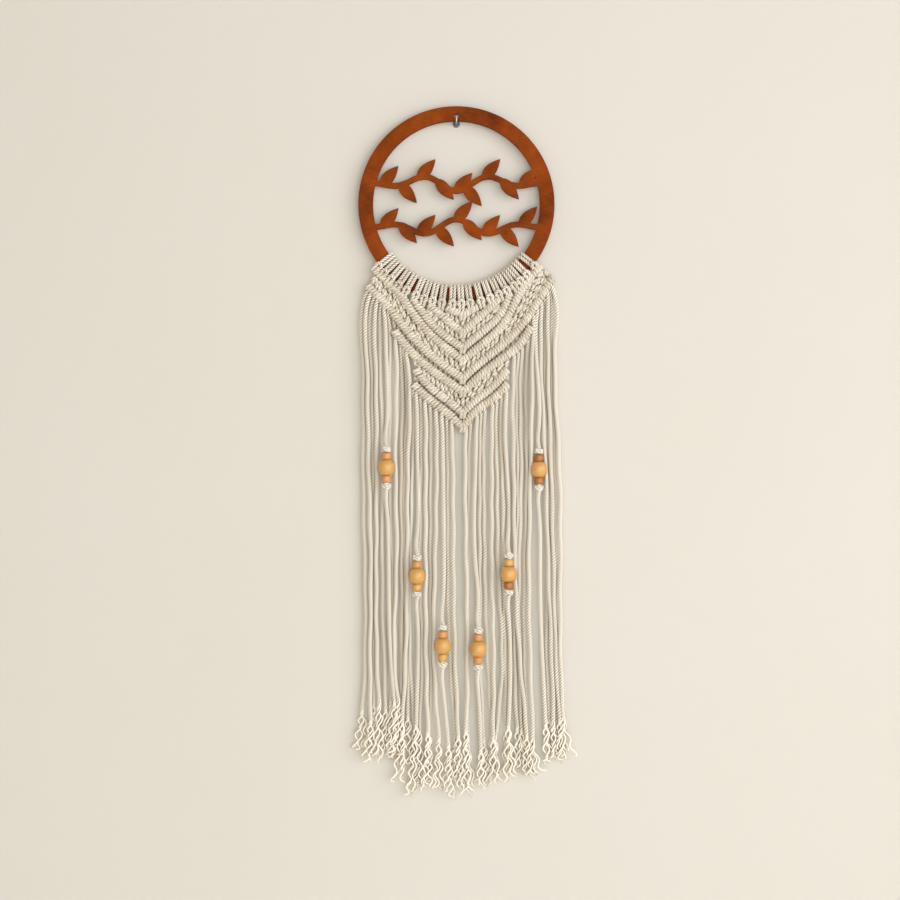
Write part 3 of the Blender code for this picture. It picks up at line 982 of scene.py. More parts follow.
@dataclass
class FretworkBoard:
    """The round board: a ring with two leafy vines across it, cut from one sheet.

    Attributes:
        inner_r: inner radius of the ring.
        hole_r: radius of the hanging hole.
        hole_up: height of that hole above the centre.
        stem_w: width of a stem.
        leaf_l: length of a leaf.
        leaf_w: width of a leaf.
        leaf_root: how far a leaf's root lies inside its stem.
        leaf_places: a stem is cut into this many equal steps, and each leaf grows at one of them.
        lean: angle between a leaf and the level.
        waves: how many waves a stem makes across the ring.
        hold: how far a stem runs into the ring at each end.
        easing: width of the eased edge.
        sides: how many sides the ring has.
        vines: the two vines.
    """

    inner_r: float = 85.0
    hole_r: float = 2.5
    hole_up: float = 90.0
    stem_w: float = 5.6
    leaf_l: float = 26.0
    leaf_w: float = 12.0
    leaf_root: float = 1.5
    leaf_places: int = 18
    lean: float = math.radians(48)
    waves: float = 2.5
    hold: float = 3.0
    easing: float = 0.7
    sides: int = 192
    vines: tuple[Vine, ...] = (Vine(-22.0, 8.0, 0.0, 9), Vine(23.0, 8.0, math.pi, 9))

    def stem_point(self, vine: Vine, share: float) -> Vector:
        """The stem's centre line at a share of its way across, as (x, drop)."""
        reach = math.sqrt(self.inner_r**2 - vine.level**2) + self.hold
        wave = vine.swing * math.sin(vine.phase + math.tau * self.waves * share) * math.sin(math.pi * share)
        return Vector((reach * (2 * share - 1), vine.level + wave))

    def stem_outline(self, vine: Vine, steps: int = 72) -> list[tuple[float, float]]:
        """The stem's closed outline."""
        near: list[tuple[float, float]] = []
        far: list[tuple[float, float]] = []
        for i in range(steps + 1):
            spot = self.stem_point(vine, i / steps)
            ahead = self.stem_point(vine, min(1.0, (i + 1) / steps))
            behind = self.stem_point(vine, max(0.0, (i - 1) / steps))
            along = (ahead - behind).normalized()
            side = Vector((-along.y, along.x)) * self.stem_w / 2
            near.append(tuple(spot + side))
            far.append(tuple(spot - side))
        return near + far[::-1]

    def leaf_outline(self, base: Vector, heading: float, steps: int = 14) -> list[tuple[float, float]]:
        """A pointed leaf's closed outline.

        Args:
            base: where it grows from the stem.
            heading: its direction, in radians.
            steps: points to each of its two edges.

        Returns:
            The outline as (x, drop) points.
        """
        along = Vector((math.cos(heading), math.sin(heading)))
        side = Vector((-along.y, along.x))
        root = base - along * self.leaf_root
        edges: list[list[tuple[float, float]]] = [[], []]
        for i in range(steps + 1):
            share = i / steps
            # The root is a little blunt, the belly sits below the middle, and the tip is sharp
            bulge = math.sin(math.pi * min(1.0, 0.08 + 0.92 * share) ** 0.8) ** 0.9
            half = self.leaf_w / 2 * max(0.0, bulge)
            for edge, hand in zip(edges, (1, -1)):
                edge.append(tuple(root + along * self.leaf_l * share + side * half * hand))
        return edges[0][:-1] + [tuple(root + along * self.leaf_l)] + edges[1][-2::-1]

    def outlines(self) -> list[list[tuple[float, float]]]:
        """Every outline of the fretwork: the stems and their leaves."""
        shapes: list[list[tuple[float, float]]] = []
        for vine in self.vines:
            shapes.append(self.stem_outline(vine))
            for leaf in range(vine.leaves):
                share = (leaf + 1) / (vine.leaves + 1)
                share = math.floor(share * self.leaf_places) / self.leaf_places
                heading = -self.lean if leaf % 2 == 0 else self.lean
                shapes.append(self.leaf_outline(self.stem_point(vine, share), heading))
        return shapes

    def slab(self, name: str, outline: list[tuple[float, float]], half: float) -> bpy.types.Object:
        """A flat outline made into a slab about the middle plane."""
        bm = bmesh.new()
        front = [bm.verts.new(Vector(PLAN.at(x, drop, half)) * MM) for x, drop in outline]
        back = [bm.verts.new(Vector(PLAN.at(x, drop, -half)) * MM) for x, drop in outline]
        bm.faces.new(front)
        bm.faces.new(back)
        for i in range(len(outline)):
            j = (i + 1) % len(outline)
            bm.faces.new((front[i], front[j], back[j], back[i]))
        bmesh.ops.recalc_face_normals(bm, faces=bm.faces[:])
        mesh = bpy.data.meshes.new(name)
        bm.to_mesh(mesh)
        bm.free()
        return link_object(name, mesh)

    def band(self) -> bpy.types.Object:
        """The ring itself."""
        bm = bmesh.new()
        half = PLAN.board_half
        outer, inner = PLAN.ring_outer, self.inner_r
        corners = [(outer, half), (outer, -half), (inner, -half), (inner, half)]
        loops: list[list[bmesh.types.BMVert]] = []
        for step in range(self.sides):
            angle = math.tau * step / self.sides
            spots = [Vector(PLAN.polar(angle, radius, 0.0, out)) * MM for radius, out in corners]
            loops.append([bm.verts.new(spot) for spot in spots])
        for here, there in zip(loops, loops[1:] + loops[:1]):
            for i in range(4):
                j = (i + 1) % 4
                bm.faces.new((here[i], here[j], there[j], there[i]))
        bmesh.ops.recalc_face_normals(bm, faces=bm.faces[:])
        mesh = bpy.data.meshes.new("ring_board_fine")
        bm.to_mesh(mesh)
        bm.free()
        return link_object("ring_board_fine", mesh)

    def build(self) -> bpy.types.Object:
        """Joins the ring and its fretwork, drills the hole and eases the edges."""
        board = self.band()
        self._combine(board, [self.slab("fret", line, PLAN.board_half) for line in self.outlines()], "UNION")
        turns = [math.tau * i / 32 for i in range(32)]
        hole = [(self.hole_r * math.cos(a), self.hole_r * math.sin(a) - self.hole_up) for a in turns]
        self._combine(board, [self.slab("drill", hole, 2 * PLAN.board_half)], "DIFFERENCE")
        easing = board.modifiers.new("eased_edge", "BEVEL")
        easing.width = self.easing * MM
        easing.segments = 2
        easing.limit_method = "ANGLE"
        easing.angle_limit = math.radians(40)
        self._apply(board)
        board.data.shade_smooth()
        board.data.set_sharp_from_angle(angle=math.radians(35))
        board.data.materials.append(StainedBoard().material())
        return ride_as(board, "stained_board", "ring_board")

    def _combine(self, board: bpy.types.Object, shapes: list[bpy.types.Object], operation: str) -> None:
        """Joins shapes to the board or cuts them from it, and removes them."""
        group = bpy.data.collections.new(operation.lower())
        bpy.context.scene.collection.children.link(group)
        for shape in shapes:
            bpy.context.scene.collection.objects.unlink(shape)
            group.objects.link(shape)
        boolean = board.modifiers.new(operation.lower(), "BOOLEAN")
        boolean.operation = operation
        boolean.operand_type = "COLLECTION"
        boolean.collection = group
        self._apply(board)
        for shape in shapes:
            bpy.data.objects.remove(shape)
        bpy.data.collections.remove(group)

    def _apply(self, board: bpy.types.Object) -> None:
        """Puts the result of the board's modifiers into its mesh."""
        bpy.context.view_layer.update()
        graph = bpy.context.evaluated_depsgraph_get()
        mesh = bpy.data.meshes.new_from_object(board.evaluated_get(graph))
        board.modifiers.clear()
        board.data = mesh


# ------------------------------------------------------------------ lark's heads


@dataclass
class LarksHeads:
    """The lark's heads that hold the cotton to the board's lower edge.

    Attributes:
        pitch: angle from one head to the next.
        half_gap: half the distance between a head's two wraps.
        slips: how far each head has slipped along the board, in degrees, left to right.
        tints: depth of the palest and of the deepest head.
    """

    pitch: float = math.radians(5.4)
    half_gap: float = 1.78
    slips: tuple[float, ...] = (
        *(0.0, -0.5, -0.6, -0.5, -0.5, 0.3, -0.1, -0.4, -0.4, 0.4),
        *(0.1, -0.3, 0.7, 0.9, 0.8, 0.5, 0.1, -0.7, -0.9, 0.3),
    )
    tints: tuple[float, float] = (0.2, 0.7)

    def angles(self) -> list[float]:
        """The angle of each head from straight down."""
        first = -(len(self.slips) - 1) / 2 * self.pitch
        return [first + i * self.pitch + math.radians(slip) for i, slip in enumerate(self.slips)]

    def half_route(self) -> list[tuple[float, float, float]]:
        """One half of a head's cord, from its tail to the middle of the cross bar.

        Returns:
            Stations as (sideways, radius, out): sideways from the head's middle, out in front of the board.
        """
        side = self.half_gap
        return [
            (side - 0.1, 109.0, 2.0),
            (side, 103.0, 4.3),
            (side, 97.5, 4.0),
            (side, 91.0, 4.0),
            (side, 86.5, 3.9),
            (side, 84.0, 2.9),
            (side, 83.1, 0.0),
            (side, 84.0, -2.9),
            (side, 87.0, -3.9),
            (side, 96.0, -3.9),
            (side + 0.4, 101.0, -2.6),
            (side + 1.0, 103.0, 0.6),
            (side + 1.1, 101.9, 4.2),
            (side + 0.5, 99.6, 6.3),
            (0.55 * side, 98.5, 7.1),
        ]

    def build(self, cotton: bpy.types.Material) -> bpy.types.Object:
        """Makes all the heads as one piece."""
        skein = Skein("larks_heads")
        half = self.half_route()
        other = [(-side, radius, out) for side, radius, out in half[::-1]]
        pale, deep = self.tints
        for number, angle in enumerate(self.angles()):
            route = [PLAN.polar(angle, radius, side, out) for side, radius, out in half + other]
            tint = pale + (deep - pale) * tint_of(number)
            # Each head starts at another turn of its twist, so that no two look alike
            skein.lay(spline(route, LOOPED.pitch), LOOPED, tint, start=1.7 * number)
        return skein.build(cotton)


# ------------------------------------------------------------------ bars of hitches


@dataclass(frozen=True)
class Bar:
    """One diagonal arm of double half hitches.

    Attributes:
        name: its name, ending in its side.
        stations: (x, drop) places of its middle line, from its outer end to the middle of the V.
    """

    name: str
    stations: tuple[tuple[float, float], ...]

    @property
    def side(self) -> int:
        """-1 for the left arm and 1 for the right one."""
        return -1 if self.name.endswith("left") else 1

    def line(self, step: float = 0.5) -> np.ndarray:
        """The middle line as (x, drop) points at an even pitch, smooth through the stations."""
        flat = [(x, drop, 0.0) for x, drop in self.stations]
        if len(flat) == 2:
            middle = tuple((a + b) / 2 for a, b in zip(*flat))
            flat.insert(1, middle)
        return spline(flat, step)[:, :2]


# Places read off the photograph, to the nearest millimetre
BARS = (
    Bar("bar_0_left", ((-10, 105), (6, 112))),
    Bar("bar_1_left", ((-27, 102), (-17, 111), (-6, 121), (6, 130))),
    Bar("bar_2_left", ((-44, 96), (-38, 105), (-31, 115), (-19, 128), (6, 146))),
    Bar("bar_3_left", ((-81, 68), (-69, 80), (-56, 94), (-41, 115), (-19, 139), (6, 158))),
    Bar("bar_4_left", ((-91, 83), (-74, 99), (-57, 120), (-33, 147), (-11, 165), (6, 177))),
    Bar("bar_5_left", ((-63, 129), (-49, 147), (-30, 165), (6, 190))),
    Bar("bar_6_left", ((-41, 168), (-28, 185), (-10, 199), (6, 212))),
    Bar("bar_7_left", ((-44, 183), (-28, 198), (-10, 212), (6, 226))),
    Bar("bar_0_right", ((22, 104), (7, 112))),
    Bar("bar_1_right", ((42, 97), (33, 106), (20, 118), (7, 130))),
    Bar("bar_2_right", ((54, 91), (50, 103), (42, 116), (31, 126), (7, 146))),
    Bar("bar_3_right", ((86, 62), (72, 79), (60, 99), (48, 121), (27, 142), (7, 158))),
    Bar("bar_4_right", ((98, 74), (82, 101), (64, 126), (42, 147), (20, 165), (7, 177))),
    Bar("bar_5_right", ((76, 125), (64, 143), (45, 158), (7, 190))),
    Bar("bar_6_right", ((52, 168), (38, 185), (21, 199), (7, 212))),
    Bar("bar_7_right", ((52, 183), (38, 197), (21, 209), (7, 226))),
)


@dataclass
class HitchBars:
    """The knotwork: each bar is a row of double half hitches tied round a carrier cord.

    Attributes:
        knot_pitch: length of bar that one knot takes.
        wrap_pitch: distance between a knot's two wraps.
        half_w: half the knot's width across the bar, to the cord's middle.
        half_front: how far the cord's middle stands out in front.
        half_back: how far it stands out behind.
        tuck: how far each end of a knot's cord turns behind the bar, in radians.
        joint_drop: how far the knot that joins two arms sits below their meeting point.
        joint_out: how far it stands in front of them.
        slip: how far a knot may sit from its even place along the bar.
        loose: how much bigger or smaller than usual a knot may be, as a share.
        tints: depth of the palest and of the deepest knot.
    """

    knot_pitch: float = 6.4
    wrap_pitch: float = 3.15
    half_w: float = 3.05
    half_front: float = 3.5
    half_back: float = 2.9
    tuck: float = math.radians(55)
    joint_drop: float = 2.6
    joint_out: float = 0.9
    slip: float = 0.25
    loose: float = 0.04
    # The knots' depths are set deep as painted shade over their crevices; each knot takes one at random
    # within the range
    tints: tuple[float, float] = (0.5, 1.0)

    def knots(self, bar: Bar) -> list[tuple[np.ndarray, np.ndarray]]:
        """The middle and the heading of each of a bar's knots, as (x, drop) pairs."""
        step = 0.5
        line = bar.line(step)
        length = step * (len(line) - 1)
        count = max(2, round(length / self.knot_pitch))
        found: list[tuple[np.ndarray, np.ndarray]] = []
        for i in range(count):
            spot = min(len(line) - 2, round((i + 0.5) / count * (len(line) - 1)))
            heading = line[spot + 1] - line[spot - 1]
            found.append((line[spot], heading / np.linalg.norm(heading)))
        return found

    def wrap_route(self, middle: np.ndarray, heading: np.ndarray, loose: float, out: float) -> np.ndarray:
        """The cord of one knot: two wraps round the bar, which advance to the right as they climb its front.

        Args:
            middle: the knot's (x, drop).
            heading: direction of the bar.
            loose: how much bigger than usual the knot is, as a share.
            out: how far the knot stands in front of the bar's own middle.

        Returns:
            The cord's points in world millimetres.
        """
        onward = heading if heading[0] > 0 else -heading
        below = np.array((-onward[1], onward[0]))
        points: list[tuple[float, float, float]] = []
        # Two passes across the front and one behind, with an end tucked in behind at each side
        for turn in np.linspace(-self.tuck, 3 * math.pi + self.tuck, 34):
            shift = self.wrap_pitch * ((turn - math.pi / 2) / math.tau - 0.5)
            depth = self.half_front if math.sin(turn) > 0 else self.half_back
            across = self.half_w * (1 + loose) * math.cos(turn)
            spot = middle + onward * shift + below * across
            points.append(PLAN.at(spot[0], spot[1], out + depth * (1 + loose) * math.sin(turn)))
        return spline(points, KNOTTED.pitch)

    def build(self, cotton: bpy.types.Material) -> list[bpy.types.Object]:
        """Makes the left and the right arms, each as one piece."""
        noise = np.random.default_rng(7)
        pieces: list[bpy.types.Object] = []
        for side, name in ((-1, "hitches_left"), (1, "hitches_right")):
            skein = Skein(name)
            for bar in BARS:
                if bar.side != side:
                    continue
                self._carrier(skein, bar)
                for middle, heading in self.knots(bar):
                    slip = heading * float(noise.uniform(-self.slip, self.slip))
                    self._tie(skein, middle + slip, heading, noise)
                # One knot joins the two arms of a V, and it is laid with the left one
                if side < 0:
                    joint = np.array(bar.stations[-1], float) + (0.5, self.joint_drop)
                    self._tie(skein, joint, np.array((1.0, 0.0)), noise, self.joint_out)
            pieces.append(skein.build(cotton))
        return pieces

    def _tie(
        self,
        skein: Skein,
        middle: np.ndarray,
        heading: np.ndarray,
        noise: np.random.Generator,
        out: float = 0.0,
    ) -> None:
        """Adds one knot to a skein.

        Args:
            skein: the skein that takes it.
            middle: the knot's (x, drop).
            heading: direction of the bar.
            noise: source of its small differences.
            out: how far it stands in front of the bar's own middle.
        """
        loose = float(noise.uniform(-self.loose, self.loose))
        route = self.wrap_route(middle, heading, loose, out)
        pale, deep = self.tints
        # Painted shade: the knot's depth lies in a deep range, and is random within it
        tint = pale + (deep - pale) * float(noise.uniform())
        skein.lay(route, KNOTTED, tint, float(noise.uniform(0, math.tau)))

    def _carrier(self, skein: Skein, bar: Bar) -> None:
        """The cord that the bar's knots are tied round."""
        line = bar.line(CORE.pitch)
        skein.lay(np.array([PLAN.at(x, drop, 0.0) for x, drop in line]), CORE, 0.5)


@dataclass
class LinkCords:
    """The short fat cords that fill the spaces between two bars, or between the lark's heads and a bar.

    Attributes:
        spaces: the (upper, lower) bars of each space, by number; no upper bar means the board alone.
        seams: spaces so narrow that they hold only the row behind.
        pitch: sideways distance from one cord to the next.
        lean: sideways shift of a cord to its height, its lower end nearer the middle of the V.
        shortest: a space lower than this between two middle lines shows no cord.
        longest: a space higher than this holds no cord either.
        lobe: height of one swelling of a cord, where it passes over its neighbour.
        head_r: radius below the board's centre where a cord comes out of a lark's head.
        middle_x: the line on which the two arms of each V meet.
        stray: how far a cord may sit from its even place.
        zigzag: how far a cord of several lobes swings sideways from one to the next.
        bulge: how far each lobe stands out in front.
        waist: thickness between two lobes, as a share of the lobe's.
        front_out: how far the front row stands in front of the middle plane.
        back_out: how far the row behind does.
        front_painted_shade: least depth of the front row's colour.
        back_painted_shade: least depth of the back row's.
        tint_range: how much deeper a single cord may be.
    """

    spaces: tuple[tuple[int | None, int], ...] = ((None, 0), (0, 1), (1, 2), (3, 4), (5, 6))
    seams: tuple[tuple[int, int], ...] = ((2, 3), (4, 5), (6, 7))
    pitch: float = 4.7
    lean: float = 0.22
    shortest: float = 11.0
    longest: float = 62.0
    lobe: float = 7.5
    head_r: float = 100.0
    middle_x: float = 6.5
    stray: float = 0.4
    zigzag: float = 0.9
    bulge: float = 1.3
    waist: float = 0.74
    front_out: float = -0.5
    back_out: float = -2.8
    # The rows' least depths are painted shade, as the cords sit sunk between the bars; the row behind is
    # deeper
    front_painted_shade: float = 0.55
    back_painted_shade: float = 0.85
    tint_range: float = 0.15

    def roof(self, x: float, upper: Bar | None) -> float:
        """The drop from which a cord at x starts: the upper bar's middle line, or else the lark's heads."""
        heads = math.sqrt(max(0.0, self.head_r**2 - x * x))
        if upper is None:
            return heads
        line = upper.line()
        if line[:, 0].min() - 1.0 < x < line[:, 0].max() + 1.0:
            return max(heads, float(line[np.abs(line[:, 0] - x).argmin()][1]))
        return heads

    def build(self, cotton: bpy.types.Material) -> bpy.types.Object:
        """Makes all the short cords as one piece: a space has two rows, and a seam only the one behind."""
        skein = Skein("link_cords")
        noise = np.random.default_rng(11)
        bars = {(int(bar.name[4]), bar.side): bar for bar in BARS}
        for above, below in self.spaces + self.seams:
            for side in (-1, 1):
                upper = bars.get((above, side))
                lower = bars[(below, side)]
                # Each row's least depth is painted shade for cords sunk between the bars
                if (above, below) in self.spaces:
                    # The cord in the middle of the V is laid once, with the left arm
                    first = 0.0 if side < 0 else 1.0
                    self._row(skein, upper, lower, first, self.front_out, self.front_painted_shade, noise)
                self._row(skein, upper, lower, 0.5, self.back_out, self.back_painted_shade, noise)
        return skein.build(cotton)

    def _row(
        self,
        skein: Skein,
        upper: Bar | None,
        lower: Bar,
        shift: float,
        out: float,
        tint: float,
        noise: np.random.Generator,
    ) -> None:
        """Adds one row of cords between two bars.

        Args:
            skein: the skein that takes them.
            upper: the bar above, or None for the board alone.
            lower: the bar below.
            shift: place of the first cord from the middle of the V, in pitches.
            out: how far the row stands in front of the middle plane.
            tint: the least depth of the cords' colour.
            noise: source of their small differences.
        """
        side = lower.side
        line = lower.line()
        # No cord comes from beyond the upper bar's outer end
        edge = side * math.inf if upper is None else float(upper.stations[0][0]) + 0.5 * side
        reach = abs(float(line[0][0]) - self.middle_x)
        for step in np.arange(shift, reach / self.pitch, 1.0):
            x = self.middle_x + side * (step * self.pitch + float(noise.uniform(-self.stray, self.stray)))
            foot = float(line[np.abs(line[:, 0] - x).argmin()][1])
            height = foot - self.roof(x, upper)
            # The cords near the middle of the V hang straight
            lean = self.lean * min(1.0, 0.5 * step)
            top_x = side * min(side * (x + side * lean * height), side * edge)
            top = self.roof(top_x, upper)
            if not self.shortest < foot - top < self.longest:
                continue
            route, thickness = self._lobes((top_x, top), (x, foot), out, noise)
            depth = tint + self.tint_range * float(noise.uniform())
            skein.lay(route, FAT, depth, float(noise.uniform(0, 6)), thickness)

    def _lobes(
        self,
        top: tuple[float, float],
        foot: tuple[float, float],
        out: float,
        noise: np.random.Generator,
    ) -> tuple[np.ndarray, np.ndarray]:
        """One cord's path and how thick it is along it, swelling forward once for each lobe.

        Args:
            top: (x, drop) of its upper end, inside the upper bar.
            foot: (x, drop) of its lower end, inside the lower bar.
            out: how far its row stands in front of the middle plane.
            noise: source of its small differences.

        Returns:
            Points in world millimetres, and a share of the full radius for each.
        """
        height = foot[1] - top[1]
        lobes = max(1, round((height - self.shortest) / self.lobe))
        # The share of its length that each bar hides
        hidden = 0.36 * self.shortest / height
        bulge = self.bulge * float(noise.uniform(0.7, 1.3))
        zigzag = self.zigzag * float(noise.choice((-1.0, 1.0))) if lobes > 1 else 0.0
        points: list[tuple[float, float, float]] = []
        for share in np.linspace(0, 1, 6 * lobes + 7):
            place = np.clip((share - hidden) / (1 - 2 * hidden), 0.0, 1.0)
            swell = abs(math.sin(math.pi * lobes * place))
            x = top[0] + (foot[0] - top[0]) * share + zigzag * math.sin(math.pi * lobes * place)
            points.append(PLAN.at(x, top[1] + height * share, out - 1.0 + (bulge + 1.0) * swell))
        path = spline(points, FAT.pitch)
        place = np.clip((np.linspace(0, 1, len(path)) - hidden) / (1 - 2 * hidden), 0.0, 1.0)
        return path, self.waist + (1 - self.waist) * np.abs(np.sin(math.pi * lobes * place))


# ------------------------------------------------------------------ beads


@dataclass(frozen=True)
class BeadSet:
    """A large bead between two small ones on one strand.

    Attributes:
        number: the set's number in the frame's node names.
        strand: the strand that carries it, by its place in the list of strands.
        top: wood of the upper small bead.
        low: wood of the lower small bead.
        tilts: lean of the upper, large and lower bead, in degrees.
    """

    number: int
    strand: int
    top: BeadTone
    low: BeadTone
    tilts: tuple[float, float, float]

    def box(self, part: str) -> tuple[Vector, Vector]:
        """Middle and half size of one of its beads, from the frame, in millimetres."""
        low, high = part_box(f"bead_{self.number}_{part}")
        return (low + high) / 2 / MM, (high - low) / 2 / MM


BEAD_SETS = (
    BeadSet(1, 4, BeadTone.TAN, BeadTone.TAN, (2.0, -3.0, 4.0)),
    BeadSet(2, 11, BeadTone.TAN, BeadTone.HONEY, (-2.0, 3.0, -5.0)),
    BeadSet(3, 17, BeadTone.TAN, BeadTone.HONEY, (3.0, -4.0, -5.0)),
    BeadSet(4, 22, BeadTone.TAN, BeadTone.TAN, (1.0, 3.0, 4.0)),
    BeadSet(5, 28, BeadTone.HONEY, BeadTone.BROWN, (-2.0, -3.0, -4.0)),
    BeadSet(6, 34, BeadTone.BROWN, BeadTone.BROWN, (-4.0, 2.0, -3.0)),
)


class BeadForm(Enum):
    """How a bead is turned, as its height to its solid's, and its squareness.

    A squareness of 2 is a round belly, and more is a barrel with round shoulders.
    """

    BALL = (1.06, 2.35)
    BARREL = (1.0, 3.6)


@dataclass
class Beads:
    """All the turned beads.

    Attributes:
        bore_r: radius of the bore.
        rim: width of the flat end round the bore.
        bore_end: where the bore widens to each end flat, as a share of half the bead's height.
        swell: how much wider the finished belly is than its plain solid.
        sides: how many sides each has.
    """

    bore_r: float = 2.4
    rim: float = 0.5
    bore_end: float = 0.8
    swell: float = 1.06
    sides: int = 40

    def profile(self, half: Vector, form: BeadForm) -> list[tuple[float, float]]:
        """A bead's closed profile: its bore, its end flats and its belly.

        Args:
            half: half the size of the bead's solid.
            form: how it is turned.

        Returns:
            (radius, height) stations.
        """
        stretch, squareness = form.value
        radius = self.swell * half.x
        height = stretch * half.z
        run = [(self.bore_r, -self.bore_end * height)]
        cap = math.acos(min(1.0, ((self.bore_r + self.rim) / radius) ** (squareness / 2)))
        for turn in np.linspace(-cap, cap, 25):
            across = radius * abs(math.cos(turn)) ** (2 / squareness)
            up = height * math.copysign(abs(math.sin(turn) / math.sin(cap)) ** (2 / squareness), turn)
            run.append((across, up))
        run.append((self.bore_r, self.bore_end * height))
        return run

    def build(self) -> list[bpy.types.Object]:
        """Makes the three beads of each set."""
        woods = {tone: TurnedWood(tone).material() for tone in BeadTone}
        pieces: list[bpy.types.Object] = []
        for bead_set in BEAD_SETS:
            tones = (bead_set.top, BeadTone.HONEY, bead_set.low)
            for part, tone, tilt in zip(("top", "large", "low"), tones, bead_set.tilts):
                middle, half = bead_set.box(part)
                form = BeadForm.BALL if part == "large" else BeadForm.BARREL
                lean = Matrix.Translation(middle) @ Matrix.Rotation(math.radians(tilt), 4, "Y")
                name = f"turned_bead_{bead_set.number}_{part}"
                bead = turned_object(name, self.profile(half, form), self.sides, lean)
                bead.data.materials.append(woods[tone])
                slot = "bead_dark" if tone is BeadTone.BROWN else "bead_wood"
                pieces.append(ride_as(bead, slot, f"bead_{bead_set.number}_{part}"))
        return pieces


# ------------------------------------------------------------------ hanging strands


class Layer(Enum):
    """Which of the two layers a strand hangs in, as its distance in front of the middle plane."""

    FRONT = 2.0
    BACK = -2.0


@dataclass(frozen=True)
class Strand:
    """A hanging strand.

    Attributes:
        bar: the bar that it leaves.
        root: x at which it leaves it.
        xs: x at each of the five levels, the last where it opens into locks.
        opens: drop at which it opens.
        tip: drop at which it ends.
        layer: the layer that it hangs in.
    """

    bar: str
    root: float
    xs: tuple[float, float, float, float, float]
    opens: float
    tip: float
    layer: Layer


FRONT, BACK = Layer.FRONT, Layer.BACK
# Places read off the photograph, to the nearest millimetre
STRANDS = (
    Strand("bar_4_left", -90, (-96, -95, -93, -94, -96), 516, 565, BACK),
    Strand("bar_4_left", -87, (-92, -90, -87, -88, -87), 526, 572, FRONT),
    Strand("bar_4_left", -83, (-88, -85, -83, -85, -85), 511, 567, BACK),
    Strand("bar_4_left", -80, (-83, -81, -82, -80, -79), 505, 572, FRONT),
    Strand("bar_4_left", -73, (-72, -73, -69, -65, -63), 507, 564, FRONT),
    Strand("bar_4_left", -69, (-68, -69, -66, -65, -67), 511, 567, BACK),
    Strand("bar_4_left", -76, (-78, -76, -76, -73, -72), 514, 569, BACK),
    Strand("bar_5_left", -61, (-61, -62, -61, -61, -59), 505, 565, FRONT),
    Strand("bar_5_left", -56, (-56, -56, -56, -56, -56), 518, 572, BACK),
    Strand("bar_5_left", -50, (-49, -49, -50, -53, -55), 528, 592, FRONT),
    Strand("bar_7_left", -43, (-43, -44, -48, -46, -42), 534, 602, BACK),
    Strand("bar_7_left", -40, (-40, -40, -40, -40, -41), 531, 607, FRONT),
    Strand("bar_7_left", -36, (-36, -36, -37, -36, -38), 536, 597, BACK),
    Strand("bar_7_left", -31, (-31, -31, -31, -30, -29), 538, 597, FRONT),
    Strand("bar_7_left", -26, (-26, -26, -26, -26, -28), 538, 595, BACK),
    Strand("bar_5_left", -53, (-52, -52, -52, -50, -49), 522, 580, BACK),
    Strand("bar_7_left", -20, (-20, -20, -22, -22, -18), 544, 602, FRONT),
    Strand("bar_7_left", -14, (-14, -14, -13, -11, -8), 551, 609, FRONT),
    Strand("bar_7_left", -9, (-9, -9, -9, -5, 0), 544, 597, BACK),
    Strand("bar_7_left", -4, (-4, -4, -3, 0, 2), 541, 597, FRONT),
    Strand("bar_7_right", 9, (9, 9, 10, 11, 10), 536, 607, FRONT),
    Strand("bar_7_right", 13, (13, 13, 11, 11, 12), 554, 600, BACK),
    Strand("bar_7_right", 20, (20, 20, 20, 23, 25), 556, 597, FRONT),
    Strand("bar_7_right", 28, (28, 28, 29, 33, 37), 541, 590, BACK),
    Strand("bar_7_right", 36, (36, 36, 36, 38, 37), 544, 592, FRONT),
    Strand("bar_7_right", 24, (24, 24, 24, 25, 28), 546, 594, BACK),
    Strand("bar_7_right", 40, (40, 41, 43, 46, 40), 541, 590, BACK),
    Strand("bar_7_right", 45, (45, 46, 48, 50, 51), 534, 587, BACK),
    Strand("bar_7_right", 50, (50, 50, 53, 55, 53), 531, 593, FRONT),
    Strand("bar_5_right", 58, (58, 58, 60, 67, 72), 541, 587, FRONT),
    Strand("bar_5_right", 62, (62, 62, 61, 60, 62), 533, 583, BACK),
    Strand("bar_5_right", 66, (66, 66, 64, 65, 67), 536, 585, BACK),
    Strand("bar_5_right", 72, (72, 72, 70, 70, 72), 541, 589, BACK),
    Strand("bar_4_right", 78, (78, 76, 74, 76, 78), 546, 587, FRONT),
    Strand("bar_4_right", 82, (81, 83, 85, 89, 91), 530, 575, FRONT),
    Strand("bar_4_right", 86, (86, 90, 94, 98, 99), 528, 572, FRONT),
    Strand("bar_4_right", 89, (91, 92, 94, 93, 95), 526, 572, BACK),
    Strand("bar_4_right", 92, (93, 96, 99, 103, 105), 526, 569, FRONT),
    Strand("bar_4_right", 94, (97, 100, 101, 102, 103), 528, 567, BACK),
    Strand("bar_4_right", 96, (101, 104, 106, 107, 109), 524, 564, FRONT),
)


